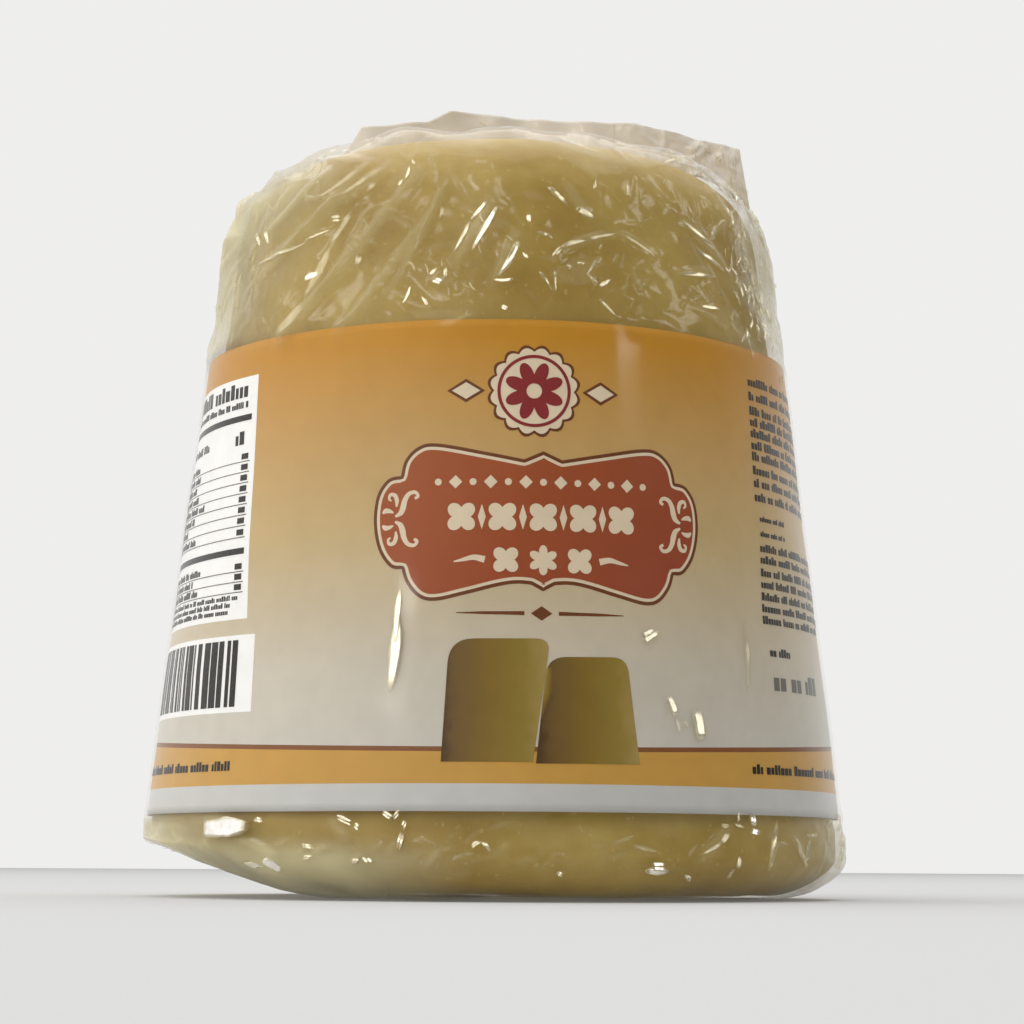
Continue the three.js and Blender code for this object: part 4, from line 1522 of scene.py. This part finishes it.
def softened(corners, steps=8):
    """Closed outline through corners, each given with the length of its rounding."""
    places = np.array([corner[:2] for corner in corners], float)
    outline = []
    for i, (x, z, rounding) in enumerate(corners):
        corner = np.array((x, z))
        before, after = (corner + rounding * unit(places[(i + k) % len(places)] - corner) for k in (-1, 1))
        for t in np.linspace(0, 1, steps if rounding else 1):
            outline.append(tuple((1 - t) ** 2 * before + 2 * t * (1 - t) * corner + t**2 * after))
    return outline


def inset(outline, distance):
    """The outline moved inwards by a distance."""
    path = np.array(outline)
    following = np.roll(path, -1, axis=0)
    ahead = unit(following - np.roll(path, 1, axis=0))
    aside = np.stack([-ahead[:, 1], ahead[:, 0]], axis=-1)
    area = np.sum(path[:, 0] * following[:, 1] - following[:, 0] * path[:, 1]) / 2
    return [tuple(p) for p in path + aside * distance * np.sign(area)]


def cartouche_outline():
    last = len(CARTOUCHE_HALF) - 1
    right = [(CARTOUCHE_MIDDLE[0] + x, CARTOUCHE_MIDDLE[1] + z) for x, z in CARTOUCHE_HALF]
    left = [(CARTOUCHE_MIDDLE[0] - x, CARTOUCHE_MIDDLE[1] + z) for x, z in CARTOUCHE_HALF[last - 1:0:-1]]
    corners = set(CARTOUCHE_CORNERS) | {2 * last - index for index in CARTOUCHE_CORNERS if 0 < index < last}
    return rounded(right + left, corners)


def cartouche_ornament():
    """Cream motifs of the cartouche: rows of flowers, lozenges and beads between leafy ornaments."""
    x, z = CARTOUCHE_MIDDLE
    shapes = []
    count, spacing, up = BEADS
    for step in range(-count, count + 1):
        place = (x + spacing * step, z + up)
        if step % 2:
            shapes.append(diamond(place, BEAD_SIZES[1], BEAD_SIZES[1]))
        else:
            shapes.append(oval(place, BEAD_SIZES[0], BEAD_POINTS))
    count, spacing, up = FLOWERS
    for step in range(-count, count + 1):
        shapes.append(flower((x + spacing * step, z + up), FLOWER_RADIUS, 4))
        if step < count:
            shapes.append(diamond((x + spacing * (step + 0.5), z + up), *SLIM_LOZENGE))
    count, spacing, up = LOWER_FLOWERS
    for step in range(-count, count + 1):
        shapes.append(flower((x + spacing * step, z + up), LOWER_FLOWER_RADIUS, 4 if step else 6))
    for side in (-1, 1):
        shapes.append(swept([(x + side * reach, z + up + lift) for reach, lift in SCROLL], SCROLL_WIDTHS))
        middle = (x + side * FLOURISH_PLACE[0], z + FLOURISH_PLACE[1])
        for upward in (-1, 1):
            for path, widths in FLOURISH:
                place = [(middle[0] - side * reach, middle[1] + upward * rise) for reach, rise in path]
                shapes.append(swept(place, widths))
    return shapes


def medallion(radius, lozenge):
    """Scalloped disc between two lozenges."""
    x, z = MEDALLION_MIDDLE
    lozenges = [diamond((x + side * LOZENGE_REACH, z), *lozenge) for side in (-1, 1)]
    return flower(MEDALLION_MIDDLE, radius, *MEDALLION_SCALLOPS), lozenges


def rosette():
    """Ring round a flower with an open heart."""
    rings = [oval(MEDALLION_MIDDLE, radius, RING_POINTS) for radius in MEDALLION_RINGS]
    heart = oval(MEDALLION_MIDDLE, MEDALLION_HEART, HEART_POINTS)
    return rings + [flower(MEDALLION_MIDDLE, *MEDALLION_FLOWER), heart]


def divider():
    """Diamond between two tapering lines."""
    x, z = DIVIDER_MIDDLE
    lines = [stroke([(x + side * reach, z) for reach in DIVIDER_PLACES], DIVIDER_WIDTHS) for side in (-1, 1)]
    return [diamond((x, z), *DIVIDER_DIAMOND)] + lines


def small_print(draw, left, right, middle, size):
    """Row of words made of short upright bars, some of them taller."""
    shapes = []
    x = left
    while x < right:
        for _ in range(draw.integers(*SMALL_PRINT_WORDS)):
            width = size * draw.uniform(*SMALL_PRINT_WIDTHS)
            if x + width > right:
                return shapes
            rise = SMALL_PRINT_RISES[0] if draw.random() < TALL_SHARE else SMALL_PRINT_RISES[1]
            shapes.append(bar(x, x + width, middle - size / 2, middle + size * rise))
            x += width + BAR_GAP * size
        x += WORD_GAP * size
    return shapes


def print_rows(draw, left, right, ragged, heights, size):
    """Rows of small print with an even or ragged right end."""
    shapes = []
    for z in heights:
        end = right - draw.uniform(0, ragged) if ragged else right
        shapes += small_print(draw, left, end, z, size)
    return shapes


def table_marks(draw):
    """Thick rules, headings, rows and a column of squares on the white side panel."""
    shapes = [bar(*TABLE_RULES_SPAN, z + THICK_RULE[0], z + THICK_RULE[1]) for z in THICK_RULES]
    for heading in TABLE_HEADINGS:
        shapes += small_print(draw, *heading)
    for z in TABLE_ROWS:
        end = TABLE_ROW_SPAN[1] + draw.uniform(*TABLE_ROW_RAGGED)
        shapes += small_print(draw, TABLE_ROW_SPAN[0], end, z, 1.0)
        shapes.append(bar(*TABLE_SQUARES_SPAN, z + SQUARE[0], z + SQUARE[1]))
    return shapes + print_rows(draw, *TABLE_SMALL_PRINT)


def table_rules():
    """Thin rules under the rows of the side panel."""
    return [bar(*TABLE_RULES_SPAN, z + THIN_RULE[0], z + THIN_RULE[1]) for z in TABLE_ROWS]


def upright_bars(draw):
    """Upright bars of varied width in their white box."""
    shapes = []
    x, right = BARS_INSIDE
    while x < right:
        width = draw.choice(BAR_WIDTHS)
        shapes.append(bar(x, x + width, *BAR_HEIGHTS))
        x += width + draw.choice(BAR_GAPS)
    return shapes


def side_notes(draw):
    """Rows of small print on the right side of the sleeve and on the stripe."""
    return [shape for rows in NOTES for shape in print_rows(draw, *rows)]


def sleeve_points(across, height, lift, turn=0.0):
    """Points on or over the printed side of the sleeve, in metres."""
    angle = FRONT + turn + across / np.interp(height, REACH_HEIGHTS, FRONT_REACH)
    reach = girth(angle, height) - SLEEVE_DEPTH + ripple(angle, height) + lift
    return at_radius(angle, reach, height) * MM


def add_ink(name, shapes, layer, material, turns=(0.0,), shares=None):
    """Makes flat outlines into one thin sheet of ink wrapped on the sleeve. Nested outlines leave holes."""
    curve = bpy.data.curves.new(name, "CURVE")
    curve.dimensions = "2D"
    curve.fill_mode = "BOTH"
    for shape in shapes:
        spline = curve.splines.new("POLY")
        spline.points.add(len(shape) - 1)
        spline.points.foreach_set("co", np.array([(x, z, 0, 1) for x, z in shape], float).ravel())
        spline.use_cyclic_u = True
    flat = bpy.data.objects.new(name, curve)
    bpy.context.collection.objects.link(flat)
    select_only(flat)
    bpy.ops.object.convert(target="MESH")
    flat = added(name)
    cut_into_strips(flat)
    across, height, _ = read_points(flat).T
    if shares is not None:
        write_shares(flat, "across", shares(across, height))
    copies = []
    for turn in turns:
        select_only(flat)
        bpy.ops.object.duplicate()
        copies.append(bpy.context.object)
        write_points(copies[-1], sleeve_points(across, height, INK_STEP * layer + INK_WALL, turn))
    bpy.data.objects.remove(flat)
    select_only(copies[0])
    if len(copies) > 1:
        copies[1].select_set(True)
        bpy.ops.object.join()
    piece = added(name)
    apply_modifier(piece, "SOLIDIFY", thickness=INK_WALL * MM, offset=-1.0)
    finish_piece(piece, material, "printed_sleeve", INK_SHARP)


def cut_into_strips(piece):
    """Cuts a flat mesh every few mm, so that it can follow the sleeve."""
    points = read_points(piece)
    edit_all(piece)
    for direction, places, step in zip(np.eye(3), points.T, INK_STRIPS):
        for index in range(math.floor(places.min() / step) + 1, math.ceil(places.max() / step)):
            bpy.ops.mesh.select_all(action="SELECT")
            bpy.ops.mesh.bisect(plane_co=direction * index * step, plane_no=direction)
    bpy.ops.object.mode_set(mode="OBJECT")


# Operators


class MESH_OT_jaggery_cake_add(bpy.types.Operator):
    """Add the cake of jaggery"""

    bl_idname = "mesh.jaggery_cake_add"
    bl_label = "Add Jaggery Cake"

    def execute(self, context):
        settings = context.scene.jaggery_cake
        deselect_all()
        height = BLOCK_HEIGHT * MM - settings.bottom
        bpy.ops.mesh.primitive_cylinder_add(
            vertices=CAKE_SIDES, radius=settings.foot_radius, depth=height,
            location=(0, 0, settings.bottom + height / 2), end_fill_type="NGON")
        cake = added("jaggery_cake")
        bpy.ops.object.transform_apply(location=True, rotation=True, scale=True)
        points = read_points(cake)
        top = points[:, 2] > BLOCK_HEIGHT * MM / 2
        points[top, :2] *= settings.top_radius / settings.foot_radius
        points[:, 0] *= CAKE_WIDENING
        write_points(cake, points)
        self.bevel_top(cake, settings.shoulder)
        apply_modifier(cake, "REMESH", mode="VOXEL", voxel_size=CAKE_VOXEL * MM)
        self.fit_in_bag(cake)
        self.add_relief(cake, "lumps", LUMP_BREADTH, settings.lump)
        for name, breadth, rise in CAKE_DENTS:
            self.add_relief(cake, name, breadth, rise * MM)
        points = read_points(cake) / MM
        points[:, 2] = np.maximum(points[:, 2], self.heel_rise(points, CAKE_CLEARANCE) + CAKE_REST)
        write_points(cake, points * MM)
        finish_piece(cake, jaggery_material(settings), "film_bag")
        return {"FINISHED"}

    def bevel_top(self, cake, offset):
        """Rounds the rim of the cake's top."""
        edit_all(cake)
        bpy.ops.mesh.select_all(action="DESELECT")
        bpy.ops.object.mode_set(mode="OBJECT")
        at_top = read_points(cake)[:, 2] > BLOCK_HEIGHT * MM / 2
        for edge in cake.data.edges:
            edge.select = all(at_top[index] for index in edge.vertices)
        bpy.ops.object.mode_set(mode="EDIT")
        bpy.ops.mesh.select_mode(type="EDGE")
        bpy.ops.mesh.bevel(offset=offset, segments=CAKE_BEVEL_STEPS, affect="EDGES")
        bpy.ops.mesh.select_mode(type="VERT")
        bpy.ops.object.mode_set(mode="OBJECT")

    def add_relief(self, cake, name, breadth, rise):
        """Moves the cake's surface in and out by a cloudy pattern."""
        texture = bpy.data.textures.new(f"jaggery_{name}", "CLOUDS")
        texture.noise_scale = breadth * MM
        texture.noise_depth = 2
        apply_modifier(
            cake, "DISPLACE", texture=texture, texture_coords="LOCAL", strength=rise, mid_level=LUMP_MIDDLE)

    def heel_rise(self, points, gap):
        """Height of the bag's heel at points held a gap inside it."""
        width, height, roundness, foot_reach = heel(np.arctan2(points[:, 1], points[:, 0]))
        share = np.clip((np.hypot(points[:, 0], points[:, 1]) + gap - foot_reach) / width, 0, 1)
        return height * (1 - (1 - share**roundness) ** (1 / roundness))

    def fit_in_bag(self, cake):
        """Raises the foot of the cake along the bag's heel and holds its wall off the film."""
        points = read_points(cake) / MM
        angle, radius = np.arctan2(points[:, 1], points[:, 0]), np.hypot(points[:, 0], points[:, 1])
        points[:, 2] += self.heel_rise(points, CAKE_GAP) * np.clip(1 - points[:, 2] / CAKE_FOOT, 0, 1)
        room = girth(angle, points[:, 2]) - CAKE_GAP
        points[:, :2] *= np.minimum(1, room / np.maximum(radius, 1))[:, None]
        write_points(cake, points * MM)


class MESH_OT_jaggery_film_add(bpy.types.Operator):
    """Add the crumpled clear film bag with its seal fin"""

    bl_idname = "mesh.jaggery_film_add"
    bl_label = "Add Film Bag"

    def execute(self, context):
        settings = context.scene.jaggery_film
        sheet = Film()
        sheet.crumple(settings.crumple)
        rows, columns = sheet.points.shape[0] - 1, sheet.points.shape[1] - 1
        film, column, row = add_wrapped_grid("clear_film", columns, rows)
        write_points(film, sheet.points[row, column] * MM)
        write_shares(film, "creased", sheet.creased[row, column])
        close_seam(film)
        edit_all(film)
        bpy.ops.mesh.select_mode(type="EDGE")
        bpy.ops.mesh.select_all(action="DESELECT")
        bpy.ops.mesh.select_non_manifold(
            extend=False, use_wire=False, use_boundary=True, use_multi_face=False, use_non_contiguous=False,
            use_verts=False)
        bpy.ops.mesh.fill(use_beauty=True)
        bpy.ops.mesh.select_mode(type="VERT")
        bpy.ops.mesh.select_all(action="SELECT")
        bpy.ops.mesh.normals_make_consistent(inside=False)
        bpy.ops.object.mode_set(mode="OBJECT")
        finish_piece(film, film_material(settings), "film_bag")
        self.add_tucks(*sheet.tucks(), settings)
        return {"FINISHED"}

    def add_tucks(self, made, whitening_and_glint, settings):
        """Adds all tucks as one piece: a spindle repeated by an array, with each copy laid on the film."""
        deselect_all()
        sides = len(TUCK_SECTION)
        bpy.ops.mesh.primitive_uv_sphere_add(segments=sides, ring_count=TUCK_STATIONS, radius=1)
        tucks = added("film_tucks")
        spindle = read_points(tucks)
        station = np.rint(np.arccos(np.clip(-spindle[:, 2], -1, 1)) / math.pi * TUCK_STATIONS).astype(int)
        side = np.rint(np.arctan2(spindle[:, 1], spindle[:, 0]) / TURN * sides).astype(int) % sides
        apply_modifier(tucks, "ARRAY", count=len(made), relative_offset_displace=(2, 0, 0))
        write_points(tucks, made[:, station, side].reshape(-1, 3) * MM)
        # Whitening fades in from the tucks' ends and out to their edges, softening the painted glint
        from_end = np.minimum(station, TUCK_STATIONS - station) / TUCK_STATIONS
        shares = smoothstep(from_end, 0.0, WHITENED_END) * TUCK_SECTION[side, 2]
        write_shares(tucks, "whitening_and_glint", np.outer(whitening_and_glint, shares))
        finish_piece(tucks, tuck_material(settings), "film_bag")


class MESH_OT_jaggery_sleeve_add(bpy.types.Operator):
    """Add the sleeve that carries the print"""

    bl_idname = "mesh.jaggery_sleeve_add"
    bl_label = "Add Sleeve"

    def execute(self, context):
        sleeve, column, row = add_wrapped_grid("sleeve", SLEEVE_COLUMNS, SLEEVE_ROWS)
        angle = TURN * (column % SLEEVE_COLUMNS) / SLEEVE_COLUMNS
        height = lerp(SLEEVE_BOTTOM, SLEEVE_TOP, row / SLEEVE_ROWS)
        reach = girth(angle, height) - SLEEVE_DEPTH + ripple(angle, height)
        write_points(sleeve, at_radius(angle, reach, height) * MM)
        close_seam(sleeve)
        apply_modifier(sleeve, "SOLIDIFY", thickness=SLEEVE_WALL * MM, offset=-1.0)
        material = sleeve_material(context.scene.jaggery_print)
        finish_piece(sleeve, material, "printed_sleeve")
        return {"FINISHED"}


class MESH_OT_jaggery_print_add(bpy.types.Operator):
    """Add the ornament and side panels printed on the sleeve"""

    bl_idname = "mesh.jaggery_print_add"
    bl_label = "Add Print"

    def execute(self, context):
        settings = context.scene.jaggery_print
        draw = np.random.default_rng(settings.seed)
        line, cream, white, black, grey, red = (
            ink_material(f"ink_{name}", getattr(settings, name))
            for name in ("line", "cream", "white", "black", "grey", "red"))

        outline = cartouche_outline()
        disc, lozenges = medallion(MEDALLION_RADII[0], LOZENGES[0])
        add_ink("print_lines", [outline, disc] + divider() + lozenges, 0, line, LABEL_SIDES)
        disc, lozenges = medallion(MEDALLION_RADII[1], LOZENGES[1])
        add_ink("print_pale", [inset(outline, CARTOUCHE_LINE), disc] + lozenges, 1, cream, LABEL_SIDES)
        field = inset(outline, CARTOUCHE_LINE + CARTOUCHE_TRIM)
        add_ink("print_field", [field], 2, brick_material(settings), LABEL_SIDES)
        add_ink("print_rosette", rosette(), 2, red, LABEL_SIDES)
        add_ink("print_ornament", cartouche_ornament(), 3, cream, LABEL_SIDES)
        blocks = [softened(LARGE_BLOCK), softened(SMALL_BLOCK)]
        add_ink("print_cakes", blocks, 1, cakes_material(), LABEL_SIDES, self.cake_shares)
        panels = [bar(*TABLE_SPAN, *TABLE_HEIGHTS), bar(*BARS_SPAN, *BARS_HEIGHTS)]
        add_ink("print_panels", panels, 0, white)
        add_ink("print_rules", table_rules(), 1, grey)
        dark = table_marks(draw) + upright_bars(draw) + side_notes(draw)
        add_ink("print_marks", dark, 1, black)
        add_ink("print_codes", small_print(draw, *STAMPED_ROW), 1, grey)
        return {"FINISHED"}

    def cake_shares(self, across, height):
        """How far each point lies from the left edge of its own printed cake."""
        large, small = ((across - left) / width for left, width in (LARGE_SPAN, SMALL_SPAN))
        return np.where(across > np.interp(height, *BLOCKS_EDGE), small, large)


class MESH_OT_jaggery_stage_add(bpy.types.Operator):
    """Add the floor, the camera and the lights"""

    bl_idname = "mesh.jaggery_stage_add"
    bl_label = "Add Stage"

    def execute(self, context):
        settings = context.scene.jaggery_stage
        self.add_floor()
        self.add_camera(context, settings)
        self.add_world(context)
        for name, place, size, glow in LIGHTS:
            self.add_light(name, place, size, glow * settings.brightness)
        context.scene.view_settings.view_transform = "Standard"
        return {"FINISHED"}

    def add_floor(self):
        """Round floor with a softly rounded rim."""
        deselect_all()
        bpy.ops.mesh.primitive_cylinder_add(
            vertices=FLOOR_SIDES, radius=FLOOR_REACH, depth=FLOOR_DEPTH, location=(0, 0, -FLOOR_DEPTH / 2))
        floor = added("studio_floor")
        bpy.ops.object.transform_apply(location=True, rotation=True, scale=True)
        edit_all(floor)
        bpy.ops.mesh.bevel(offset=FLOOR_DEPTH / 3, segments=4, affect="EDGES")
        bpy.ops.object.mode_set(mode="OBJECT")
        bpy.ops.object.shade_smooth_by_angle(angle=FLOOR_SHARP)
        floor.data.materials.append(floor_material())

    def add_camera(self, context, settings):
        bpy.ops.object.camera_add()
        camera = added("camera")
        aim = Matrix.Rotation(math.pi / 2 + settings.tilt, 4, "X") @ Matrix.Rotation(settings.roll, 4, "Z")
        camera.matrix_world = Matrix.Translation((0, -settings.distance, settings.height)) @ aim
        camera.data.lens = settings.lens
        camera.data.sensor_width = SENSOR_WIDTH
        camera.data.shift_x, camera.data.shift_y = CAMERA_SHIFT
        camera.data.clip_start = NEAREST_SEEN
        context.scene.camera = camera

    def add_world(self, context):
        """Room that glows at its left and behind the pack, before a backdrop that looks even."""
        world = bpy.data.worlds.new("studio_world")
        context.scene.world = world
        world.use_nodes = True
        tree = world.node_tree
        axes = separated(tree, add_node(tree, "ShaderNodeTexCoord").outputs["Generated"])
        glow = softly(tree, axes["X"], LEFT_ONSET, ROOM_GLOW, LEFT_GLOW)
        glow = softly(tree, axes["Y"], BACKDROP_ONSET, glow, BACKDROP_GLOW)
        seen = add_node(tree, "ShaderNodeLightPath").outputs["Is Camera Ray"]
        glow = add_node(tree, "ShaderNodeMix", {0: seen, 2: glow, 3: BACKDROP_GLOW}, data_type="FLOAT")
        background = tree.nodes["Background"]
        background.inputs["Color"].default_value = opaque(ROOM_COLOUR)
        tree.links.new(glow.outputs[0], background.inputs["Strength"])

    def add_light(self, name, place, size, glow):
        """Adds a soft light that faces the pack."""
        bpy.ops.object.light_add(type="AREA", location=place)
        light = added(name)
        toward = Vector(LIGHTS_AIM) - Vector(place)
        light.rotation_euler = toward.to_track_quat("-Z", "Y").to_euler()
        light.data.shape = "RECTANGLE"
        light.data.size, light.data.size_y = size
        light.data.energy = glow * math.pi * size[0] * size[1]
        light.visible_camera = False


class VIEW3D_PT_jaggery_pack(bpy.types.Panel):
    """Lists the pieces of the pack"""

    bl_label = "Jaggery Pack"
    bl_space_type = "VIEW_3D"
    bl_region_type = "UI"
    bl_category = "Jaggery Pack"

    def draw(self, context):
        for operator, group in STEPS:
            box = self.layout.box()
            box.operator(operator)
            settings = getattr(context.scene, group)
            for name in settings.bl_rna.properties.keys():
                if name not in ("rna_type", "name"):
                    box.prop(settings, name)


STEPS = (
    ("mesh.jaggery_stage_add", "jaggery_stage"),
    ("mesh.jaggery_cake_add", "jaggery_cake"),
    ("mesh.jaggery_sleeve_add", "jaggery_print"),
    ("mesh.jaggery_print_add", "jaggery_print"),
    ("mesh.jaggery_film_add", "jaggery_film"),
)
GROUPS = {
    "jaggery_cake": CakeSettings,
    "jaggery_film": FilmSettings,
    "jaggery_print": PrintSettings,
    "jaggery_stage": StageSettings,
}
CLASSES = (
    *GROUPS.values(),
    MESH_OT_jaggery_stage_add,
    MESH_OT_jaggery_cake_add,
    MESH_OT_jaggery_sleeve_add,
    MESH_OT_jaggery_print_add,
    MESH_OT_jaggery_film_add,
    VIEW3D_PT_jaggery_pack,
)


def register():
    for cls in CLASSES:
        bpy.utils.register_class(cls)
    for name, group in GROUPS.items():
        setattr(bpy.types.Scene, name, PointerProperty(type=group))


def unregister():
    for name in GROUPS:
        delattr(bpy.types.Scene, name)
    for cls in reversed(CLASSES):
        bpy.utils.unregister_class(cls)


def main():
    register()
    bpy.ops.mesh.jaggery_stage_add()
    bpy.ops.mesh.jaggery_cake_add()
    bpy.ops.mesh.jaggery_sleeve_add()
    bpy.ops.mesh.jaggery_print_add()
    bpy.ops.mesh.jaggery_film_add()


if __name__ == "__main__":
    main()
